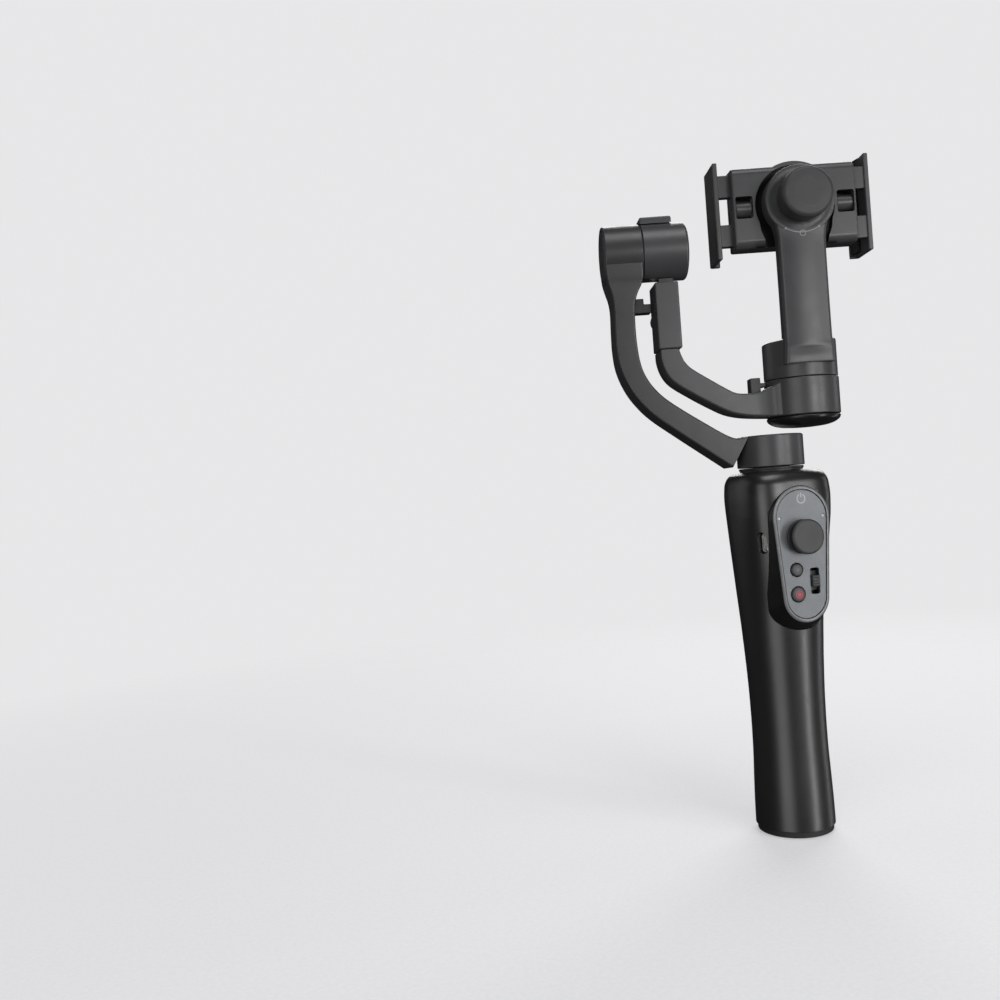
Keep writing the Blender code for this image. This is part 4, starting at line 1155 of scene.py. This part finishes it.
# Soft boxes as (place, (width, height), watts), all aimed at the middle of the object.
SOFT_BOXES = {
    "front_left": ((-0.58, -0.88, 0.05), (0.6, 1.0), 3.6),
    "front": ((0.38, -0.92, 0.27), (0.36, 0.28), 2.7),
    "front_right": ((0.70, -0.62, 0.05), (0.10, 1.0), 3.4),
    "rim_right": ((0.92, 0.30, 0.05), (0.08, 1.0), 0.9),
    "above": ((0.05, -0.35, 1.0), (0.6, 0.4), 2.8),
    "back": ((0.30, 0.82, 0.75), (0.8, 0.7), 7.5),
    "side_left": ((-0.92, 0.42, 0.40), (0.8, 0.8), 0.9),
}


def make_camera():
    """A camera that looks level along Y, rolled a little."""
    camera = bpy.data.objects.new("camera", bpy.data.cameras.new("camera"))
    bpy.context.scene.collection.objects.link(camera)
    camera.data.lens = LENS
    camera.data.sensor_width = SENSOR
    camera.data.clip_start = 0.01
    roll = math.radians(CAMERA_ROLL)
    up = Vector((math.sin(roll), 0, math.cos(roll)))
    right = Vector((math.cos(roll), 0, -math.sin(roll)))
    turn = Matrix((right, up, (0, -1, 0))).transposed().to_4x4()
    camera.matrix_world = Matrix.Translation(CAMERA_AT) @ turn
    bpy.context.scene.camera = camera


def make_lights():
    for name, (place, size, watts) in SOFT_BOXES.items():
        light = bpy.data.lights.new(name, "AREA")
        light.shape = "RECTANGLE"
        light.size, light.size_y = size
        light.energy = watts
        obj = bpy.data.objects.new(name, light)
        bpy.context.scene.collection.objects.link(obj)
        obj.location = place
        obj.rotation_euler = (Vector(AIM) - Vector(place)).to_track_quat("-Z", "Y").to_euler()


def make_world():
    world = bpy.data.worlds.new("studio")
    bpy.context.scene.world = world
    world.use_nodes = True
    tree = world.node_tree
    seen, lit = tree.nodes["Background"], tree.nodes.new("ShaderNodeBackground")
    seen.inputs[0].default_value = (0.80, 0.80, 0.81, 1)
    lit.inputs[0].default_value = (0.020, 0.020, 0.021, 1)
    mixer = tree.nodes.new("ShaderNodeMixShader")
    path = tree.nodes.new("ShaderNodeLightPath")
    tree.links.new(path.outputs["Is Camera Ray"], mixer.inputs[0])
    tree.links.new(lit.outputs[0], mixer.inputs[1])
    tree.links.new(seen.outputs[0], mixer.inputs[2])
    tree.links.new(mixer.outputs[0], tree.nodes["World Output"].inputs["Surface"])


def make_floor():
    """A pale floor that only the camera sees, fading into the background away from the object."""
    bm = bmesh.new()
    bmesh.ops.create_circle(bm, cap_ends=True, segments=96, radius=900)
    floor = build("floor", bm, at=(0, 0, -0.15))
    look = Look("floor")
    away = look.vector("LENGTH", {0: look.place}).outputs["Value"]
    speckle = look.remap(look.noise(1.5, 3.0), 0.3, 0.7, 0.0, 1.0)
    seen = look.mix(speckle, (0.46, 0.46, 0.465), (0.50, 0.50, 0.50))
    direct = look.add("ShaderNodeLightPath").outputs["Is Camera Ray"]
    fade = look.remap(away, 0.25, 0.75, 1.0, 0.0)
    look.set(Base_Color=seen, Roughness=0.9, Specular_IOR_Level=0.1)
    look.set(Emission_Color=(0.43, 0.43, 0.44, 1.0), Emission_Strength=1.0)
    look.set(Alpha=look.times(fade, direct))
    floor.data.materials.append(look.material)


# ------ the scene

make_camera()
make_lights()
make_world()
make_floor()
bpy.context.scene.view_settings.view_transform = "Standard"

make_grip()
make_base()
make_tripod_insert()
make_pod()
make_stick()
make_buttons()
make_zoom_slider()
make_status_lights()
make_usb()
make_pan_motor()
make_roll_motor()
make_tilt_motor()
make_pan_arm()
make_slide_channel()
make_lock_screw()
make_roll_arm()
make_holder_arm()
make_holder_back()
make_knob()
make_clamp_cover()
make_clamp_back()
make_spring_barrels()
make_rest_pad()
for name, side in (("jaw_left", -1), ("jaw_right", 1)):
    make_jaw(name, side)
    make_jaw_pad(name, side)
dress_inner_nodes()
